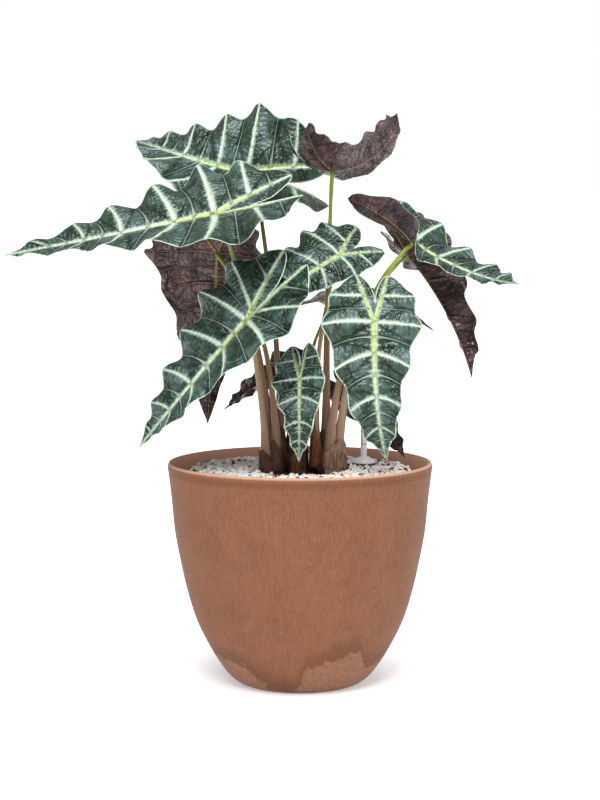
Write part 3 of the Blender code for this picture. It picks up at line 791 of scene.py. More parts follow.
@dataclass(frozen=True)
class PotSkin:
    """Matte terracotta with fine upright brushing, and worn pale patches near the foot."""

    base: tuple = (0.238, 0.100, 0.052)
    dark: tuple = (0.128, 0.048, 0.023)
    pink: tuple = (0.280, 0.148, 0.096)
    # painted highlight: a light line along the rim top, standing for the gloss on the rounded rim
    painted_sheen: tuple = (0.560, 0.350, 0.240)
    # inside: painted light, a much lighter colour for the upper inner wall so that it looks as bright as the
    # outside instead of shaded
    inside: tuple = (0.700, 0.380, 0.260)

    def build(self, name: str) -> bpy.types.Material:
        """The material: brushing all round, worn patches low down, a shaded band under the rim, a painted
        highlight along the rim top and painted light on the upper inner wall.

        Args:
            name: the material's name.

        Returns:
            The material.
        """
        g = Graph(name)
        place = g.place()
        x, y, z = g.split(place)
        radius = g.math("SQRT", g.math("ADD", g.math("MULTIPLY", x, x), g.math("MULTIPLY", y, y)))
        around = g.join(g.math("DIVIDE", x, radius), g.math("DIVIDE", y, radius), z)
        brush = g.noise(g.scaled(around, (170.0, 170.0, 95.0)), 1.0, 5.0, 0.75)
        wide = g.noise(g.scaled(around, (14.0, 14.0, 7.0)), 1.0, 3.0, 0.55)
        cloud = g.noise(place, 22.0, 6.0, 0.70, 0.5)
        share = g.math("ADD", g.math("MULTIPLY", g.math("SUBTRACT", brush, 0.5), 1.7),
                       g.math("MULTIPLY", g.math("SUBTRACT", wide, 0.5), 0.18))
        share = g.math("ADD", share, g.math("MULTIPLY", g.math("SUBTRACT", cloud, 0.5), 0.7))
        tone = g.mix(g.step(share, -0.55, 0.30), self.dark, self.base)
        specks = g.step(g.noise(g.scaled(around, (95.0, 95.0, 120.0)), 1.0, 3.0), 0.58, 0.70, 0.0, 0.50)
        tone = g.mix(specks, tone, self.pink)
        ragged = g.math("MULTIPLY", g.math("SUBTRACT", g.noise(place, 46.0, 8.0, 0.80), 0.5), 0.066)
        hump = g.math("ADD", g.step(x, -0.008, 0.012, 0.004, 0.042), g.step(x, 0.012, 0.070, 0.0, 0.017))
        hump = g.math("MULTIPLY", hump, g.step(x, 0.073, 0.080, 1.0, 0.62))
        rise = g.math("ADD", hump, g.step(x, -0.085, -0.020, 0.036, 0.0))
        rise = g.math("MULTIPLY", rise, g.step(y, 0.0, 0.05, 1.0, 0.4))
        below = g.math("SUBTRACT", g.math("ADD", rise, ragged), z)
        shade = g.math("MULTIPLY", g.step(below, -0.030, -0.002), g.step(below, 0.000, 0.004, 1.0, 0.0))
        tone = g.mix(g.math("MULTIPLY", shade, 0.65), tone, self.dark)
        flakes = g.step(g.cracks(g.scaled(place, (1.0, 1.0, 1.7)), 150.0), 0.0, 0.16, 0.30, 1.0)
        flakes = g.math("MULTIPLY", flakes, g.step(g.noise(place, 160.0, 4.0, 0.7), 0.36, 0.56, 0.35, 1.0))
        worn = g.math("MULTIPLY", g.step(below, 0.0, 0.003), flakes)
        tone = g.mix(g.math("MULTIPLY", worn, 0.75), tone, self.pink)
        band = g.math("MULTIPLY", g.step(z, 0.2640, 0.2690), g.step(z, 0.2725, 0.2745, 1.0, 0.0))
        tone = g.mix(g.math("MULTIPLY", band, 0.45), tone, self.dark)
        # painted highlight along the top of the rim
        tone = g.mix(g.step(z, 0.2760, 0.2788, 0.0, 0.8), tone, self.painted_sheen)
        # painted light: the upper inner wall is coloured lighter to cancel its shade
        painted_light_inner_wall = g.math("MULTIPLY", g.step(radius, 0.1600, 0.1609, 1.0, 0.0), g.step(z, 0.255, 0.262))
        tone = g.mix(painted_light_inner_wall, tone, self.inside)
        relief = g.math("ADD", brush, g.math("MULTIPLY", worn, 0.9))
        g.bump(relief, 0.22, 0.0007)
        return g.finish(tone, 0.60, Specular_IOR_Level=0.15)


@dataclass(frozen=True)
class Grains:
    """Mineral granules: cream, white, tan, pale mint and purple-brown."""

    def build(self, name: str) -> bpy.types.Material:
        """The material, reading each granule's own number.

        Args:
            name: the material's name.

        Returns:
            The material.
        """
        g = Graph(name)
        place = g.place()
        tone = g.ramp(g.value("kind"), ((0.0, (0.96, 0.90, 0.82)), (0.24, (0.86, 0.68, 0.54)),
                                        (0.36, (0.98, 0.97, 0.95)), (0.58, (0.70, 0.93, 0.95)),
                                        (0.70, (0.93, 0.80, 0.70)), (0.84, (0.110, 0.065, 0.060)),
                                        (0.93, (0.42, 0.35, 0.33))), steps=True)
        pits = g.noise(place, 900.0, 3.0, 0.6)
        tone = g.mix(g.step(pits, 0.30, 0.50, 0.25, 0.0), tone, (0.30, 0.23, 0.19))
        g.bump(pits, 0.7, 0.0006)
        return g.finish(tone, 0.85, Specular_IOR_Level=0.25)


@dataclass(frozen=True)
class Earth:
    """Dark crumbly potting soil."""

    dark: tuple = (0.012, 0.008, 0.006)
    light: tuple = (0.075, 0.045, 0.030)

    def build(self, name: str) -> bpy.types.Material:
        """The material, crumbly in colour and relief.

        Args:
            name: the material's name.

        Returns:
            The material.
        """
        g = Graph(name)
        place = g.place()
        crumb = g.noise(place, 420.0, 5.0, 0.7)
        tone = g.mix(g.step(crumb, 0.42, 0.70), self.dark, self.light)
        g.bump(crumb, 1.0, 0.002)
        return g.finish(tone, 0.95, Specular_IOR_Level=0.15)


@dataclass(frozen=True)
class Plastic:
    """Smooth plastic, plain or clear."""

    colour: tuple
    rough: float = 0.3
    clear: float = 0.0
    cloudy: float = 0.15
    ring_top: float = 0.0
    ring: tuple = (0.110, 0.090, 0.105)

    def build(self, name: str) -> bpy.types.Material:
        """The material, faintly clouded.

        Args:
            name: the material's name.

        Returns:
            The material.
        """
        g = Graph(name)
        haze = g.noise(g.place(), 220.0, 2.0)
        dim = tuple(c * (1 - self.cloudy) for c in self.colour)
        tone = g.mix(g.step(haze, 0.35, 0.65), dim, self.colour)
        if self.ring_top > 0:
            z = g.split(g.place())[2]
            tone = g.mix(g.step(z, self.ring_top, self.ring_top + 0.0004, 1.0, 0.0), tone, self.ring)
        return g.finish(tone, self.rough, Transmission_Weight=self.clear, IOR=1.46)


@dataclass(frozen=True)
class MarkedTube:
    """Clear tube with two yellow level rings."""

    colour: tuple = (0.97, 0.97, 0.97)
    mark: tuple = (0.80, 0.44, 0.03)

    def build(self, name: str) -> bpy.types.Material:
        """The material, with a ring at each level.

        Args:
            name: the material's name.

        Returns:
            The material.
        """
        g = Graph(name)
        z = g.split(g.place())[2]
        tone = self.colour
        for height in (0.2965, 0.3130):
            off = g.math("ABSOLUTE", g.math("SUBTRACT", z, height))
            tone = g.mix(g.step(off, 0.0009, 0.0012, 1.0, 0.0), tone, self.mark)
        haze = g.noise(g.place(), 300.0, 2.0)
        tone = g.mix(g.step(haze, 0.4, 0.7, 0.0, 0.15), tone, (0.7, 0.71, 0.72))
        return g.finish(tone, 0.2, Transmission_Weight=0.20, IOR=1.46)


@dataclass(frozen=True)
class Backdrop:
    """Plain pale floor, faintly lit from below like a light table."""

    colour: tuple = (0.90, 0.90, 0.90)
    glow: float = 0.35

    def build(self, name: str) -> bpy.types.Material:
        """The material, very faintly clouded.

        Args:
            name: the material's name.

        Returns:
            The material.
        """
        g = Graph(name)
        faint = g.noise(g.place(), 2.0, 1.0)
        tone = g.mix(g.step(faint, 0.3, 0.7), self.colour, tuple(c * 0.995 for c in self.colour))
        g.put(g.shader.inputs["Emission Color"], (1.0, 1.0, 1.0))
        return g.finish(tone, 0.9, Specular_IOR_Level=0.1, Emission_Strength=self.glow)


# ---- leaves ----------------------------------------------------------------------------------------
class BladeShape:
    """The flat arrow-shaped outline of a blade, its ribs, and the way it is bent into space."""

    def __init__(self, blade: Blade) -> None:
        """Bend the midline of a blade.

        Args:
            blade: how the blade sits and bends.
        """
        self.blade = blade
        self.rng = np.random.default_rng(SEED + sum(map(ord, blade.name)))
        self.stations = np.linspace(-0.65, 1.10, 141)
        self.centre, self.frames = self.bend()
        self.ripple = self.rng.uniform(0, 2 * math.pi, 8)

    def bend(self) -> tuple:
        """Positions and frames (forward, left, up) along the midline.

        Returns:
            The centre and the frame at each station, in blade lengths from the junction.
        """
        b = self.blade
        h, p, r = (math.radians(v) for v in (b.heading, b.pitch, b.roll))
        forward = np.array([math.cos(h) * math.cos(p), math.sin(h) * math.cos(p), math.sin(p)])
        level = np.array([-math.sin(h), math.cos(h), 0.0])
        left = level * math.cos(r) + np.cross(forward, level) * math.sin(r)
        up = np.cross(forward, left)
        count = len(self.stations)
        centre = np.zeros((count, 3))
        frames = np.zeros((count, 3, 3))
        middle = int(np.argmin(abs(self.stations)))
        frames[middle] = (forward, left, up)
        for step, order in ((1, range(middle + 1, count)), (-1, range(middle - 1, -1, -1))):
            t, s, n, at = forward, left, up, np.zeros(3)
            for k in order:
                dx = self.stations[k] - self.stations[k - step]
                if step > 0:
                    droop, sway, twist = b.droop * dx, b.sway * dx, b.twist * dx
                else:
                    droop, sway, twist = b.back_droop * dx * 2, 0.0, -b.back_twist * dx * 2
                t, n = (turned_about(v, s, math.radians(droop)) for v in (t, n))
                t, s = (turned_about(v, n, math.radians(sway)) for v in (t, s))
                s, n = (turned_about(v, t, math.radians(twist)) for v in (s, n))
                at = at + t * dx
                centre[k] = at
                frames[k] = (t, s, n)
        return centre, frames

    def knots(self, side: int) -> tuple:
        """Margin knots and rib starts of one half.

        Args:
            side: 1 for the left half, -1 for the right.

        Returns:
            The margin knots, and where on the ribs each one's vein starts.
        """
        b = self.blade
        lobes = np.array(LOBES)
        lobes[:, 1] *= b.width * (b.left if side > 0 else 1 / b.left)
        lobes[:2, 0] *= b.back
        lobes[2:6, 0] *= b.gather
        swing = -math.radians(b.splay[0 if side > 0 else 1])
        for k, share in ((0, 1.0), (1, 0.6)):
            x, y = lobes[k]
            c, s = math.cos(swing * share), math.sin(swing * share)
            lobes[k] = (x * c - y * s, x * s + y * c)
        lobes[0, 1] = max(lobes[0, 1], 0.05)
        ribs = np.array(RIBS)
        ribs[1] = -b.branch
        ribs[3:7] *= b.gather
        return lobes, ribs

    @staticmethod
    def rib_point(rib: np.ndarray, lobes: np.ndarray) -> np.ndarray:
        """Flat point on the back rib (rib < 0) or the midrib (rib >= 0).

        Args:
            rib: share along the back rib as a negative number, or along the midrib.
            lobes: the margin knots.

        Returns:
            One flat point per share.
        """
        share = np.clip(-rib, 0, 1)
        back = np.stack([lobes[0, 0] * share, lobes[0, 1] * share ** 0.9], 1)
        ahead = np.stack([rib * LOBES[-1][0], 0 * rib], 1)
        return np.where(rib[:, None] < 0, back, ahead)

    def outer(self, m: np.ndarray, t: float, side: int) -> tuple:
        """Flat points and heights between the ribs and the margin: m along it, t outwards.

        Args:
            m: places along the margin, counted in knots.
            t: share of the way from the ribs to the margin.
            side: 1 for the left half, -1 for the right.

        Returns:
            The flat points and their heights.
        """
        b = self.blade
        lobes, ribs = self.knots(side)
        edge = smooth_curve(lobes, m)
        tip = lobes[0] / np.linalg.norm(lobes[0])
        blunt = BLUNT * np.sin(math.pi * np.sqrt(np.clip(m, 0, 1)))
        edge = edge + np.outer(blunt, (tip[1], -tip[0]))
        part = np.clip(np.floor(m).astype(int), 0, len(NOTCHES) - 1)
        rest = m - part
        rib = np.interp(m, np.arange(len(ribs)), ribs)
        base = self.rib_point(rib, lobes)
        out = edge - base
        reach = np.linalg.norm(out, axis=1)
        notch = np.array(NOTCHES)[part] * np.sin(math.pi * rest) ** 2
        out = out * (1 - np.minimum(notch / np.maximum(reach, 1e-6), 0.5))[:, None]
        t = np.full_like(m, t)
        bow = 0.10 * reach * np.clip(rib + 0.3, 0, 1) * 4 * t * (1 - t)
        flat = base + out * t[:, None]
        flat[:, 0] -= bow
        size = np.minimum(reach / 0.36, 1.0)
        height = b.wave * size * t ** 1.5 * np.cos(2 * math.pi * m)
        height += 0.010 * np.sin(math.pi * rest) ** 2 * 4 * t * (1 - t) * size
        pick = 0 if side > 0 else 4
        frill = np.sin(m * 9.0 + self.ripple[pick]) + 0.7 * np.sin(m * 15.0 + self.ripple[pick + 1])
        height += 0.0035 * size * t ** 3 * frill
        return flat, height

    def inner(self, m: np.ndarray, t: float, side: int) -> tuple:
        """Flat points and heights between the back rib and the centre line.

        Args:
            m: places along the back rib, counted in knots.
            t: share of the way from the back rib to the centre line.
            side: 1 for the left half, -1 for the right.

        Returns:
            The flat points and their heights.
        """
        lobes, ribs = self.knots(side)
        rib = np.interp(m, np.arange(len(ribs)), ribs)
        share = np.clip(-rib, 0, 1)
        base = self.rib_point(rib, lobes)
        notch = np.array([SINUS * self.blade.back, 0.0])
        bend = np.array([notch[0] + 0.45 * (lobes[0, 0] - notch[0]), 0.15 * lobes[0, 1]])
        u = np.clip((share - JOINED) / (1 - JOINED), 0, 1)[:, None]
        margin = (1 - u) ** 2 * notch + 2 * u * (1 - u) * bend + u ** 2 * lobes[0]
        tip = lobes[0] / np.linalg.norm(lobes[0])
        blunt = 0.8 * BLUNT * min(1.0, lobes[0, 1] / 0.12) * np.sin(math.pi * np.sqrt(1 - u))
        margin = margin - blunt * np.array([tip[1], -tip[0]])
        line = np.stack([notch[0] * np.clip(share / JOINED, 0, 1), 0 * share], 1)
        edge = np.where(share[:, None] <= JOINED, line, margin)
        flat = base + (edge - base) * t
        width = np.linalg.norm(edge - base, axis=1)
        return flat, 0.05 * width * math.sin(math.pi * t)

    def place(self, flat: np.ndarray, height: np.ndarray, side: int) -> np.ndarray:
        """Points in space, in metres.

        Args:
            flat: flat points, in blade lengths.
            height: their heights.
            side: 1 for the left half, -1 for the right.

        Returns:
            The points, in metres.
        """
        b = self.blade
        x, y = flat[:, 0], flat[:, 1]
        centre = np.stack([np.interp(x, self.stations, self.centre[:, k]) for k in range(3)], 1)
        frame = np.stack([np.stack([np.interp(x, self.stations, self.frames[:, a, k]) for k in range(3)], 1)
                          for a in range(3)], 1)
        frame /= np.linalg.norm(frame, axis=2, keepdims=True)
        pick = 0 if side > 0 else 1
        w = ease(x, -0.12, 0.18)
        start = np.radians(b.back_fold[pick] * (1 - w) + b.fold[pick] * w)
        bend = math.radians(b.curl) / 0.35
        end = start + bend * y
        across = (np.sin(end) - np.sin(start)) / bend - height * np.sin(end)
        above = (np.cos(start) - np.cos(end)) / bend + height * np.cos(end)
        spot = centre + frame[:, 1] * (across * side)[:, None] + frame[:, 2] * above[:, None]
        return (np.array(b.junction) + spot * b.length) * MM

    def vein_lines(self, side: int) -> list:
        """Ribs of one half.

        Args:
            side: 1 for the left half, -1 for the right.

        Returns:
            For each rib its flat points, its half-width at the start and at the end, and whether it is a
            main rib.
        """
        lobes = self.knots(side)[0]
        ahead = self.rib_point(np.linspace(0, 1, 60), lobes)
        back = self.rib_point(np.linspace(0, -1, 40), lobes)
        lines = [(ahead, 0.034, 0.012, True), (back, 0.027, 0.012, True)]
        steps = np.linspace(0, 1, 30)
        for k in range(1, 7):
            flat = np.vstack([self.outer(np.array([float(k)]), t, side)[0] for t in steps])
            wide = (0.0, 0.018, 0.023, 0.022, 0.019, 0.014, 0.008)[k]
            lines.append((flat, wide, wide * 0.5, False))
        for k in range(0, 6):
            flat = np.vstack([self.outer(np.array([k + 0.5]), t, side)[0] for t in steps])
            lines.append((flat, 0.0024, 0.0012, False))
        return lines

    def distances(self, flat: np.ndarray, side: int) -> tuple:
        """How far each flat point is from the ribs.

        Args:
            flat: flat points, in blade lengths.
            side: 1 for the left half, -1 for the right.

        Returns:
            Per point: distance to the nearest rib over its half-width, place along that rib, the distance
            itself, and the first ratio for the main ribs alone.
        """
        best = np.full(len(flat), 1e9)
        run = np.zeros(len(flat))
        reach = np.full(len(flat), 1e9)
        core = np.full(len(flat), 1e9)
        for number, (line, first, last, main) in enumerate(self.vein_lines(side)):
            a, b = line[:-1], line[1:]
            d = b - a
            size = np.maximum((d ** 2).sum(1), 1e-12)
            t = np.clip(((flat[:, None] - a[None]) * d[None]).sum(2) / size[None], 0, 1)
            gap = np.linalg.norm(flat[:, None] - (a[None] + d[None] * t[:, :, None]), axis=2)
            k = gap.argmin(1)
            rows = np.arange(len(flat))
            near = gap[rows, k]
            steps = np.sqrt(size)
            begin = np.concatenate([[0.0], np.cumsum(steps)])
            place = begin[k] + t[rows, k] * steps[k]
            share = place / begin[-1]
            wide = first + (last - first) * share
            ratio = near / wide
            take = ratio < best
            best = np.where(take, ratio, best)
            run = np.where(take, place + number * 1.7, run)
            reach = np.where(near < reach, near, reach)
            if main:
                core = np.minimum(core, ratio)
        return best, run, reach, core


class Leaf:
    """A finished leaf blade."""

    KNOT_STEPS = 16
    REACH_STEPS = 22
    INNER_STEPS = 9
    THICKNESS = 0.00055
    RIB_RISE = 0.0004
    PUCKER = 62.0

    def __init__(self, blade: Blade, top: bpy.types.Material, under: bpy.types.Material) -> None:
        """Take a blade and its two materials.

        Args:
            blade: how the blade sits and bends.
            top: material of the upper face.
            under: material of the lower face.
        """
        self.blade = blade
        self.shape = BladeShape(blade)
        self.top = top
        self.under = under

    def sheet(self) -> tuple:
        """The blade as one open sheet.

        Returns:
            Points, faces wound to face upwards, flat coordinates, and which half each point is in.
        """
        shape = self.shape
        points, faces, flats, sides, known = [], [], [], [], {}

        def grid(rows: list, flip: bool, side: int) -> None:
            """Add a grid of faces, sharing the points that are already there.

            Args:
                rows: (flat points, heights) of each row.
                flip: whether the faces turn the other way.
                side: 1 for the left half, -1 for the right.
            """
            ids = []
            for flat, height in rows:
                spots = shape.place(flat, height, side)
                row = []
                for (x, y), spot in zip(flat, spots):
                    key = (round(float(x), 5), round(float(y) * side, 5) + 0.0)
                    if key not in known:
                        known[key] = len(points)
                        points.append(spot)
                        flats.append((x, y))
                        sides.append(side)
                    row.append(known[key])
                ids.append(row)
            for low, high in zip(ids, ids[1:]):
                for k in range(len(low) - 1):
                    ring = [low[k], low[k + 1], high[k + 1], high[k]]
                    ring = [v for i, v in enumerate(ring) if v not in ring[:i]]
                    if len(ring) > 2:
                        faces.append(ring[::-1] if flip else ring)

        last = len(LOBES) - 1
        along = np.linspace(0, last, last * self.KNOT_STEPS + 1)
        back = np.linspace(0, 2, 2 * self.KNOT_STEPS + 1)
        for side in (1, -1):
            outwards = np.linspace(0, 1, self.REACH_STEPS + 1)
            inwards = np.linspace(0, 1, self.INNER_STEPS + 1)
            grid([shape.outer(along, t, side) for t in outwards], side < 0, side)
            grid([shape.inner(back, t, side) for t in inwards], side > 0, side)
        return np.array(points), faces, np.array(flats), np.array(sides)

    def build(self) -> bpy.types.Object:
        """The closed blade, riding on the plant and standing for its CAD node.

        Returns:
            The blade.
        """
        points, faces, flats, sides = self.sheet()
        size = self.blade.length
        values = np.zeros((len(points), 4))
        for side in (1, -1):
            pick = sides == side
            values[pick] = np.stack(self.shape.distances(flats[pick], side), 1)
        normals = np.zeros_like(points)
        edges = set()
        for ring in faces:
            a, b, c = (points[ring[k]] for k in (0, 1, 2))
            n = np.cross(b - a, c - a)
            if len(ring) == 4:
                n = n + np.cross(c - a, points[ring[3]] - a)
            for v in ring:
                normals[v] += n
            edges.update(zip(ring, ring[1:] + ring[:1]))
        normals /= np.linalg.norm(normals, axis=1, keepdims=True)
        count = len(points)
        flat = flats * np.stack([np.ones(count), sides], 1) * size
        crumple = 1.8 if self.blade.finish is Face.PURPLE else 1.0
        loose = ease(np.minimum(values[:, 3], 3.0), 0.3, 3.0) * crumple * MM
        puckers = wavy(flat[:, 0], flat[:, 1], self.shape.rng, 6, self.PUCKER) * loose
        points = points + normals * puckers[:, None]
        rim = [(a, b) for a, b in edges if (b, a) not in edges]
        margin = np.array(sorted({v for pair in rim for v in pair}))
        gap = np.full(count, 1e9)
        for start in range(0, len(margin), 64):
            some = flat[margin[start:start + 64]]
            gap = np.minimum(gap, np.linalg.norm(flat[:, None] - some[None], axis=2).min(1))
        thin = self.THICKNESS * (0.45 + 0.55 * ease(gap, 0.0, 2.0))
        rise = self.RIB_RISE * np.exp(-(values[:, 0] / 0.45) ** 2)
        upper = points - normals * (rise * 0.6)[:, None]
        lower = points - normals * (thin + rise * 1.6)[:, None]
        body = list(faces)
        body += [[v + count for v in reversed(ring)] for ring in faces]
        body += [[b, a, a + count, b + count] for a, b in sorted(rim)]
        item = mesh_object("blade_" + self.blade.name, np.vstack([upper, lower]), body,
                           [self.top, self.under])
        kinds = np.zeros(len(body), np.int32)
        kinds[len(faces):2 * len(faces)] = 1
        item.data.polygons.foreach_set("material_index", kinds)
        away = np.linalg.norm(flat, axis=1)
        offset = sum(map(ord, self.blade.name)) % 97 * 10.0
        spot = np.stack([flat[:, 0] + offset, flat[:, 1], np.zeros(count)], 1)
        for name, column in (("vein", values[:, 0]), ("run", values[:, 1] * size),
                             ("reach", values[:, 2] * size), ("core", values[:, 3]), ("edge", gap),
                             ("away", away), ("flat", spot)):
            add_values(item, name, np.concatenate([column, column]))
        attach(item, ROOT)
        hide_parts("leaf_" + self.blade.name)
        return item


class Petiole:
    """A leaf stalk from its crown to the underside of its blade."""

    SIDES = 20
    FLARE = 0.80
    WRAP = 4.0

    def __init__(self, stalk: Stalk, shape: BladeShape, skin: bpy.types.Material) -> None:
        """Take a stalk, the blade it carries and its material.

        Args:
            stalk: how the stalk runs.
            shape: the blade's shape.
            skin: the material.
        """
        self.stalk = stalk
        self.shape = shape
        self.skin = skin

    def route(self, crown_top: float) -> tuple:
        """The way a stalk runs.

        Args:
            crown_top: height the stalk starts at.

        Returns:
            Points along the stalk, the distance walked to each, and its radius there.
        """
        s = self.stalk
        up = self.shape.frames[int(np.argmin(abs(self.shape.stations)))][2]
        end = np.array(self.shape.blade.junction) * MM - up * 0.0006
        foot = np.array([s.foot[0], s.foot[1], 0.0]) * MM + np.array([0.0, 0.0, crown_top - 0.001])
        rise = foot + np.array([0.0, 0.0, 0.0053])
        knots = [rise] + [np.array(p) * MM for p in s.through] + [end - up * 0.0052]
        route = smooth_curve(knots, np.linspace(0, len(knots) - 1, 14 * (len(knots) - 1) + 1))
        route = np.vstack([foot, route, end])
        steps = np.concatenate([[0.0], np.cumsum(np.linalg.norm(np.diff(route, axis=0), axis=1))])
        share = steps / steps[-1]
        radius = (s.foot_radius + (s.top_radius - s.foot_radius) * np.minimum(share * 1.15, 1.0)) * MM
        radius = radius * (1 + self.FLARE * np.exp(-((steps / 0.045) ** 1.5)))
        return route, steps, radius

    def husk(self, crown_top: float, height: float, facing: float, spread: float,
             skin: bpy.types.Material) -> None:
        """A ragged dry sleeve round the foot of the stalk.

        Args:
            crown_top: height the stalk starts at.
            height: how far up the sleeve reaches.
            facing: direction its middle faces, in degrees from +X.
            spread: how much of the stalk it wraps, in degrees.
            skin: its material.
        """
        route, steps, radius = self.route(crown_top)
        rng = np.random.default_rng(SEED + int(facing) + int(height * 1e4))
        columns, rows = 30, 26
        sides = np.linspace(0, 1, columns)
        ragged = 1 - 1.9 * abs(sides - rng.uniform(0.3, 0.6)) ** 1.2 - 0.06 * rng.random(columns)
        ragged = np.maximum(ragged, 0.12)
        waves = rng.uniform(0, 2 * math.pi, 3)
        layers = []
        for layer in (0.0012, 0.0006):
            for row in np.linspace(0, 1, rows):
                for side, reach in zip(sides, ragged):
                    walked = row * height * reach
                    middle = np.array([np.interp(walked, steps, route[:, k]) for k in range(3)])
                    wide = float(np.interp(walked, steps, radius))
                    angle = math.radians(facing + (side - 0.5) * spread)
                    lift = (0.0005 * math.sin(side * 15 + waves[0])
                            + 0.0003 * math.sin(side * 47 + row * 3 + waves[1]))
                    out = wide + layer + lift + 0.0006 * row ** 3 + 0.0005
                    spot = middle + np.array([math.cos(angle) * out, math.sin(angle) * out, 0.0])
                    spot[2] -= 0.006 * (1 - row)
                    layers.append(spot)
        count = rows * columns
        faces = []
        for j in range(rows - 1):
            for i in range(columns - 1):
                a = j * columns + i
                faces.append([a, a + 1, a + 1 + columns, a + columns])
                faces.append([a + count, a + columns + count, a + columns + 1 + count, a + 1 + count])
        ring = [i for i in range(columns)] + [j * columns + columns - 1 for j in range(1, rows)]
        ring += [(rows - 1) * columns + i for i in range(columns - 2, -1, -1)]
        ring += [j * columns for j in range(rows - 2, 0, -1)]
        for a, b in zip(ring, ring[1:] + ring[:1]):
            faces.append([b, a, a + count, b + count])
        item = mesh_object(f"husk_{self.stalk.blade}_{int(facing)}", layers, faces, [skin])
        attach(item, ROOT)

    def build(self, crown_top: float) -> bpy.types.Object:
        """The stalk, riding on the plant and standing for its CAD node.

        Args:
            crown_top: height the stalk starts at.

        Returns:
            The stalk.
        """
        s = self.stalk
        route, steps, radius = self.route(crown_top)
        share = steps / steps[-1]
        turns = np.linspace(0, 2 * math.pi, self.SIDES, endpoint=False)
        rng = np.random.default_rng(SEED + len(s.blade))
        start = rng.uniform(0, 2 * math.pi)
        flute = 1 + 0.05 * np.cos(3 * turns[None] + start) * (1 - share[:, None]) ** 0.5
        knobs = 1 + 0.015 * np.sin(steps * 900.0 + start)[:, None]
        points, faces, along, turn = tube_mesh(route, radius[:, None] * flute * knobs, self.SIDES)
        item = mesh_object("stalk_" + s.blade, points, faces, [self.skin])
        add_values(item, "up", along)
        around = np.stack([np.cos(turn) * self.WRAP + rng.uniform(0, 200), along * steps[-1] / MM,
                           np.sin(turn) * self.WRAP], 1)
        add_values(item, "around", around)
        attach(item, ROOT)
        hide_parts("petiole_" + s.blade)
        return item


class Plant:
    """All leaves and stalks, the crowns they rise from and the dry leaf bases."""

    CROWN_TOP = 0.2800
    HUSKS = (("front_left", 0.018, 235, 200, "dark", "sheath_left"),
             ("left_dark", 0.030, 285, 240, "dark", "sheath_left"),
             ("long_left", 0.024, 215, 220, "tan", "sheath_left"),
             ("top_back", 0.046, 285, 240, "dark", "sheath_left"),
             ("low_left", 0.040, 260, 250, "dark", "sheath_middle"),
             ("front_small", 0.036, 255, 230, "dark", "sheath_middle"),
             ("back_right", 0.050, 270, 250, "dark", "sheath_middle"),
             ("centre", 0.064, 255, 250, "red", "sheath_middle"),
             ("top_right", 0.044, 270, 230, "dark", "sheath_right"),
             ("right_arch", 0.020, 250, 220, "tan", "sheath_right"),
             ("front_right", 0.016, 290, 220, "tan", "sheath_right"),
             ("right_droop", 0.030, 320, 220, "dark", "sheath_right"))

    def __init__(self) -> None:
        """Make the materials of the leaves and stalks."""
        self.top = LeafTop().build("leaf_upper")
        self.under = LeafUnder().build("leaf_under")
        self.skins = {
            "dark": StalkSkin().build("stalk_dark"),
            "tan": StalkSkin((0.230, 0.125, 0.080), (0.430, 0.270, 0.175), (0.400, 0.280, 0.120),
                             (0.250, 0.310, 0.030), 0.60).build("stalk_tan"),
            "green": StalkSkin((0.150, 0.090, 0.040), (0.260, 0.190, 0.080), (0.290, 0.310, 0.050),
                               (0.280, 0.360, 0.045), 0.35).build("stalk_green"),
        }

    def skin_of(self, name: str) -> bpy.types.Material:
        """Which stalk skin a leaf has.

        Args:
            name: the leaf's name.

        Returns:
            The material.
        """
        if name in ("right_arch", "front_right", "left_dark", "centre", "front_left"):
            return self.skins["tan"]
        if name in ("back_right", "low_right", "right_droop", "front_small"):
            return self.skins["green"]
        return self.skins["dark"]

    def build(self) -> None:
        """Build every leaf and stalk."""
        shapes = {}
        for blade in BLADES:
            leaf = Leaf(blade, self.top, self.under)
            leaf.build()
            shapes[blade.name] = leaf.shape
        LOG.info("built %d blades", len(shapes))
        husks = {
            "dark": DryFibre((0.030, 0.013, 0.008), (0.150, 0.070, 0.034)).build("husk_dark"),
            "red": DryFibre((0.060, 0.020, 0.008), (0.300, 0.120, 0.042)).build("husk_red"),
            "tan": DryFibre((0.110, 0.055, 0.032), (0.360, 0.215, 0.135)).build("husk_tan"),
        }
        for stalk in STALKS:
            petiole = Petiole(stalk, shapes[stalk.blade], self.skin_of(stalk.blade))
            petiole.build(self.CROWN_TOP)
            for blade, height, facing, spread, skin, slot in self.HUSKS:
                if blade == stalk.blade:
                    petiole.husk(self.CROWN_TOP, height, facing, spread, husks[skin])
        LOG.info("built %d stalks and %d husks", len(STALKS), len(self.HUSKS))

    def build_bases(self, nodes: dict) -> None:
        """Crowns and dry leaf bases: the CAD shapes, dressed.

        Args:
            nodes: the CAD nodes by name.
        """
        bark = DryFibre((0.020, 0.010, 0.007), (0.095, 0.045, 0.022)).build("crown_bark")
        fibre = DryFibre((0.050, 0.016, 0.007), (0.260, 0.100, 0.035)).build("dry_fibre")
        papery = DryFibre((0.150, 0.085, 0.050), (0.420, 0.270, 0.170)).build("dry_paper")
        for name in ("crown_left", "crown_middle", "crown_right"):
            dress(nodes[name], bark)
        dress(nodes["sheath_left"], DryFibre((0.040, 0.018, 0.010), (0.170, 0.085, 0.040)).build("dry_left"))
        dress(nodes["sheath_middle"], fibre)
        dress(nodes["sheath_right"], papery)


def dress(item: bpy.types.Object, material: bpy.types.Material) -> None:
    """Give a CAD node a material."""
    item.data.materials.clear()
    item.data.materials.append(material)


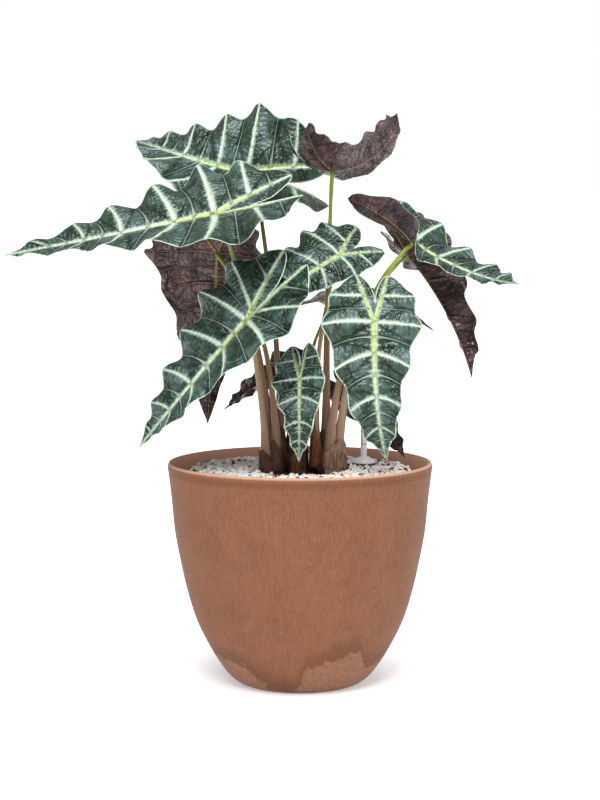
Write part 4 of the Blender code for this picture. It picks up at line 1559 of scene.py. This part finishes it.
# ---- planter and filling ---------------------------------------------------------------------------
@dataclass
class Planter:
    """The pot: a thin-walled bowl with a rounded rim."""

    wall: float = 0.006
    floor: float = 0.012
    sides: int = 192
    # The six points from 0.0397 to 0.2310 high were read off by a program; the other six were given.
    side: tuple = ((0.1650, 0.2775), (0.1655, 0.2735), (0.1638, 0.2600), (0.1605, 0.2310), (0.1568, 0.1930),
                   (0.1498, 0.1550), (0.1411, 0.1165), (0.1288, 0.0782), (0.1090, 0.0397), (0.0925, 0.0155),
                   (0.0800, 0.0045), (0.0700, 0.0))

    def outer(self) -> np.ndarray:
        """The outer side as a smooth line from the rim to the foot."""
        return smooth_curve(self.side, np.linspace(0, len(self.side) - 1, 8 * (len(self.side) - 1) + 1))

    def inner_radius(self, height: float) -> float:
        """Inner radius at a height."""
        line = self.outer()[::-1]
        return float(np.interp(height, line[:, 1], line[:, 0])) - self.wall

    def build(self) -> bpy.types.Object:
        """The pot, standing for its CAD node.

        Returns:
            The pot.
        """
        outer = [(float(r), float(max(z, 0.0))) for r, z in self.outer()]
        inner = [(self.inner_radius(z), float(z)) for z in np.linspace(0.018, 0.274, 40)]
        rim = [(0.1602, 0.2773), (0.1606, 0.2788), (0.1614, 0.2797), (0.1625, 0.2800), (0.1636, 0.2797),
               (0.1645, 0.2789)]
        profile = outer + [(0.0, 0.0), (0.0, self.floor), (0.076, self.floor)] + inner + rim
        points, faces = turned_mesh(profile, self.sides)
        item = mesh_object("planter", points, faces, [PotSkin().build("pot_skin")])
        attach(item, ROOT)
        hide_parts("pot")
        return item


@dataclass
class Filling:
    """Soil, mineral granules and crumbs."""

    planter: Planter
    inner: float = 0.060
    outer: float = 0.141
    top: float = 0.268
    spacing: float = 0.0056
    row_share: float = 0.866
    jitter: float = 0.0011
    gap: float = 0.0006
    mound: float = 0.0565
    mound_top: float = 0.2658
    bed_top: float = 0.2606
    base: float = 0.0123

    def build(self, nodes: dict) -> None:
        """Build the soil surface and scatter granules and crumbs.

        Args:
            nodes: the CAD nodes by name.
        """
        earth = Earth().build("earth")
        # the layer under the granules, coloured dark as painted shade in the gaps between them
        bed_with_painted_shade = Earth((0.030, 0.020, 0.018), (0.150, 0.105, 0.085)).build("granule_bed")
        dress(nodes["mineral_layer"], bed_with_painted_shade)
        self.soil(earth)
        self.granules()
        self.crumbs(earth)

    def soil(self, earth: bpy.types.Material) -> None:
        """The soil body with a lumpy surface.

        Args:
            earth: the soil's material.
        """
        rng = np.random.default_rng(SEED)
        wall = self.planter.inner_radius(0.260) - self.gap
        radii = np.concatenate([np.linspace(0.0, 0.056, 20), np.linspace(0.0585, wall, 40)])
        tops = np.where(radii <= self.mound, self.mound_top, self.bed_top)
        side = [(self.planter.inner_radius(z) - self.gap, z)
                for z in [z for _, z in self.planter.side[3:9]] + [0.018]]
        profile = [(float(r), float(z)) for r, z in zip(radii, tops)] + side
        profile += [(0.0745, self.base), (0.0, self.base)]
        points, faces = turned_mesh(profile, 160)
        points = np.array(points)
        surface = points[:, 2] > 0.255
        bumps = wavy(points[:, 0], points[:, 1], rng, 14, 0.030)
        inside = np.hypot(points[:, 0], points[:, 1]) < wall - 0.0005
        points[:, 2] += np.where(surface & inside, bumps * 0.0011, 0.0)
        item = mesh_object("soil_body", points, faces, [earth])
        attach(item, ROOT)
        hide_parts("soil")

    def lump(self, rng: np.random.Generator, centre: tuple, size: float, stone: tuple) -> np.ndarray:
        """One irregular stone's points.

        Args:
            rng: where the random draws come from.
            centre: where the stone lies.
            size: its rough radius.
            stone: points and faces of a round stone.

        Returns:
            The points.
        """
        sphere = stone[0] * rng.uniform(0.84, 1.16, (len(stone[0]), 1))
        stretch = rng.uniform(0.75, 1.2, 3)
        sphere = sphere * stretch
        axis = rng.normal(size=3)
        axis /= np.linalg.norm(axis)
        angle = rng.uniform(0, 2 * math.pi)
        c, s = math.cos(angle), math.sin(angle)
        turned = sphere * c + np.cross(axis, sphere) * s + np.outer(sphere @ axis, axis) * (1 - c)
        return turned * size + np.array(centre)

    @staticmethod
    def stone() -> tuple:
        """Points and faces of a round stone of radius one.

        Returns:
            The points and the faces.
        """
        t = (1 + math.sqrt(5)) / 2
        raw = [(-1, t, 0), (1, t, 0), (-1, -t, 0), (1, -t, 0), (0, -1, t), (0, 1, t), (0, -1, -t), (0, 1, -t),
               (t, 0, -1), (t, 0, 1), (-t, 0, -1), (-t, 0, 1)]
        points = [Vector(p).normalized() for p in raw]
        near = [(a, b, c) for a in range(12) for b in range(a + 1, 12) for c in range(b + 1, 12)
                if max((points[a] - points[b]).length, (points[b] - points[c]).length,
                       (points[a] - points[c]).length) < 1.1]
        middles, faces = {}, []

        def middle(a: int, b: int) -> int:
            """The point half way along an edge, added when it is new.

            Args:
                a: one end.
                b: the other end.

            Returns:
                Its number.
            """
            key = (min(a, b), max(a, b))
            if key not in middles:
                middles[key] = len(points)
                points.append((points[a] + points[b]).normalized())
            return middles[key]

        for a, b, c in near:
            if (points[b] - points[a]).cross(points[c] - points[a]).dot(points[a]) < 0:
                b, c = c, b
            ab, bc, ca = middle(a, b), middle(b, c), middle(c, a)
            faces += [(a, ab, ca), (ab, b, bc), (ca, bc, c), (ab, bc, ca)]
        return np.array([tuple(p) for p in points]), np.array(faces)

    def scatter(self, name: str, spots: list, material: bpy.types.Material, seed: int) -> None:
        """One object of many lumps.

        Args:
            name: the object's name.
            spots: (x, y, z, size) of each lump.
            material: their material.
            seed: seed of the random draws.
        """
        rng = np.random.default_rng(seed)
        stone = self.stone()
        points, faces, kinds = [], [], []
        for k, (x, y, z, size) in enumerate(spots):
            points.append(self.lump(rng, (x, y, z), size, stone))
            faces.append(stone[1] + k * len(stone[0]))
            kinds.append(np.full(len(stone[0]), rng.uniform(0, 1)))
        item = mesh_object(name, np.vstack(points), np.vstack(faces), [material], smooth=False)
        add_values(item, "kind", np.concatenate(kinds))
        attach(item, ROOT)

    def granules(self) -> None:
        """Granules packed over the mineral layer, in three pieces, plus strays round it."""
        rng = np.random.default_rng(SEED + 1)
        grains = Grains().build("grains")
        spots = []
        rows = int(2 * self.outer / (self.spacing * self.row_share)) + 2
        for j in range(rows):
            for i in range(rows):
                x = -self.outer + (i + 0.5 * (j % 2)) * self.spacing + rng.uniform(-1, 1) * self.jitter
                y = -self.outer + j * self.spacing * self.row_share + rng.uniform(-1, 1) * self.jitter
                size = rng.uniform(0.0020, 0.0035)
                r = math.hypot(x, y) + rng.uniform(-0.002, 0.002)
                gauge = math.hypot(x - Gauge.x, y - Gauge.y)
                if self.inner - 0.001 < r < self.outer and gauge > Gauge.collar + 0.0015:
                    drop = 0.004 * float(ease(r, self.outer - 0.006, self.outer))
                    spots.append((x, y, self.top - drop + rng.uniform(-0.0004, 0.0009), size))
        for _ in range(330):
            turn, r = rng.uniform(0, 2 * math.pi), math.sqrt(rng.uniform(0.062 ** 2, 0.136 ** 2))
            x, y = r * math.cos(turn), r * math.sin(turn)
            if math.hypot(x - Gauge.x, y - Gauge.y) > Gauge.collar + 0.004:
                spots.append((x, y, self.top + 0.0030, rng.uniform(0.0019, 0.0029)))
        for _ in range(46):
            turn, r = rng.uniform(0, 2 * math.pi), rng.uniform(0.053, 0.061)
            spots.append((r * math.cos(turn), r * math.sin(turn), 0.2675, rng.uniform(0.0014, 0.0022)))
        for _ in range(70):
            turn, r = rng.uniform(0, 2 * math.pi), rng.uniform(0.140, 0.150)
            spots.append((r * math.cos(turn), r * math.sin(turn), 0.2625, rng.uniform(0.0013, 0.0022)))
        third = len(spots) // 3 + 1
        for k in range(3):
            share = spots[k * third:(k + 1) * third]
            self.scatter(f"granules_{k}", share, grains, SEED + 2 + k)
        LOG.info("scattered %d granules", len(spots))

    def crumbs(self, earth: bpy.types.Material) -> None:
        """Soil crumbs in the ring by the wall and round the stems.

        Args:
            earth: the soil's material.
        """
        rng = np.random.default_rng(SEED + 9)
        spots = []
        for _ in range(330):
            turn, r = rng.uniform(0, 2 * math.pi), rng.uniform(0.141, 0.1545)
            spots.append((r * math.cos(turn), r * math.sin(turn), 0.2612, rng.uniform(0.0008, 0.0019)))
        for _ in range(260):
            turn, r = rng.uniform(0, 2 * math.pi), math.sqrt(rng.uniform(0.0, 0.058 ** 2))
            spots.append((r * math.cos(turn), r * math.sin(turn), 0.2668, rng.uniform(0.0008, 0.0022)))
        self.scatter("crumbs", spots, earth, SEED + 10)


@dataclass
class Gauge:
    """Water gauge: domed collar, clear tube with a red float, and a cap."""

    x: float = 0.081
    y: float = 0.046
    foot: float = 0.2683
    collar: float = 0.0150
    tube_radius: float = 0.0040
    tube_wall: float = 0.0007
    tube_low: float = 0.0923
    tube_top: float = 0.3250
    gap: float = 0.0003

    def part(self, name: str, profile: Sequence, material: bpy.types.Material, node: str) -> None:
        """A finely turned piece that stands for a CAD node.

        Args:
            name: the object's name.
            profile: (radius, height) pairs.
            material: its material.
            node: the CAD node it stands for.
        """
        points, faces = turned_mesh(profile, 48, (self.x, self.y))
        item = mesh_object(name, points, faces, [material])
        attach(item, ROOT)
        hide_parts(node)

    def build(self, nodes: dict) -> None:
        """Build the gauge.

        Args:
            nodes: the CAD nodes by name.
        """
        f, bore = self.foot, self.tube_radius + self.gap
        grey = Plastic((0.90, 0.88, 0.94), 0.25, ring_top=f + 0.0042).build("gauge_grey")
        dome = smooth_curve([(0.0058, f + 0.0120), (0.0066, f + 0.0108), (0.0096, f + 0.0098),
                             (0.0126, f + 0.0082), (0.0145, f + 0.0060), (self.collar, f + 0.0044)],
                            np.linspace(0, 5, 26))
        profile = [(bore, f + 0.0120)] + [tuple(map(float, p)) for p in dome]
        profile += [(self.collar, f + 0.0004), (0.0147, f), (bore, f)]
        self.part("gauge_dome", profile, grey, "gauge_collar")
        low, inside = self.tube_low, self.tube_radius - self.tube_wall
        glass = [(self.tube_radius, self.tube_top), (self.tube_radius, low), (inside, low),
                 (inside, self.tube_top)]
        self.part("gauge_glass", glass, MarkedTube().build("gauge_glass"), "gauge_tube")
        rod = [(0.0, 0.2850), (0.0012, 0.2846), (0.0022, 0.2832), (0.0026, 0.2800), (0.0020, 0.2740),
               (0.0020, 0.1000), (0.0029, 0.0980), (0.0029, low + 0.0006), (0.0, low + 0.0006)]
        self.part("gauge_rod", rod, Plastic((0.62, 0.10, 0.02), 0.35).build("gauge_red"), "gauge_float")
        top = self.tube_top + self.gap
        cap = smooth_curve([(0.0, top + 0.0050), (0.0020, top + 0.0049), (0.0038, top + 0.0043),
                            (0.0047, top + 0.0028), (0.0048, top + 0.0002)], np.linspace(0, 4, 17))
        lid = [tuple(map(float, p)) for p in cap] + [(0.0047, top), (0.0, top)]
        self.part("gauge_lid", lid, grey, "gauge_cap")
        dress(nodes["gauge_sleeve"], Plastic((0.13, 0.11, 0.13), 0.4).build("gauge_dark"))


# ---- studio ----------------------------------------------------------------------------------------
@dataclass(frozen=True)
class Studio:
    """Pale floor, soft light and the camera."""

    distance: float = 3.0
    eye: float = 0.658
    tilt: float = 5.73
    lens: float = 108.6
    sensor: float = 36.0
    ambient: float = 0.44

    def build(self) -> None:
        """Build the floor, the lights and the camera."""
        span = 40.0
        corners = [(-span, -span, 0.0), (span, -span, 0.0), (span, span, 0.0), (-span, span, 0.0)]
        mesh_object("floor", corners, [(0, 1, 2, 3)], [Backdrop().build("floor")])
        self.surroundings()
        self.sun("key", (-0.15, -1.20, 1.20), 1.60, 24.0)
        self.sun("fill", (1.20, -0.9, 0.9), 0.30, 45.0)
        self.sun("top", (0.05, -0.25, 1.0), 2.30, 40.0)
        self.camera()
        bpy.context.scene.view_settings.view_transform = "Standard"

    def surroundings(self) -> None:
        """Even studio light that looks white behind the plant."""
        world = bpy.data.worlds.new("studio")
        world.use_nodes = True
        tree = world.node_tree
        background = tree.nodes["Background"]
        background.inputs[0].default_value = (1.0, 1.0, 1.0, 1.0)
        path = tree.nodes.new("ShaderNodeLightPath")
        share = tree.nodes.new("ShaderNodeMix")
        share.inputs[2].default_value = self.ambient
        share.inputs[3].default_value = 1.0
        tree.links.new(path.outputs["Is Camera Ray"], share.inputs[0])
        tree.links.new(share.outputs[0], background.inputs[1])
        bpy.context.scene.world = world

    def sun(self, name: str, place: tuple, power: float, spread: float) -> None:
        """A soft distant light shining from a direction.

        Args:
            name: the light's name.
            place: the direction it shines from.
            power: its strength.
            spread: how wide it is, in degrees.
        """
        light = bpy.data.lights.new(name, "SUN")
        light.energy = power
        light.angle = math.radians(spread)
        item = bpy.data.objects.new(name, light)
        item.location = place
        item.rotation_euler = Vector(place).to_track_quat("Z", "Y").to_euler()
        bpy.context.scene.collection.objects.link(item)

    def camera(self) -> None:
        """The camera, level with the leaves and looking slightly down."""
        lens = bpy.data.cameras.new("camera")
        lens.lens = self.lens
        lens.sensor_width = self.sensor
        item = bpy.data.objects.new("camera", lens)
        item.location = (0.0, -self.distance, self.eye)
        item.rotation_euler = (math.radians(90.0 - self.tilt), 0.0, 0.0)
        bpy.context.scene.collection.objects.link(item)
        bpy.context.scene.camera = item


def main() -> None:
    """Build every part in order."""
    logging.basicConfig(level=logging.INFO, format="%(message)s")
    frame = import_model()
    nodes = frame["nodes"]
    planter = Planter()
    planter.build()
    Filling(planter).build(nodes)
    Gauge().build(nodes)
    plant = Plant()
    plant.build()
    plant.build_bases(nodes)
    Studio().build()
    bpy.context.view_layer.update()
    LOG.info("finished")


if __name__ == "__main__":
    main()
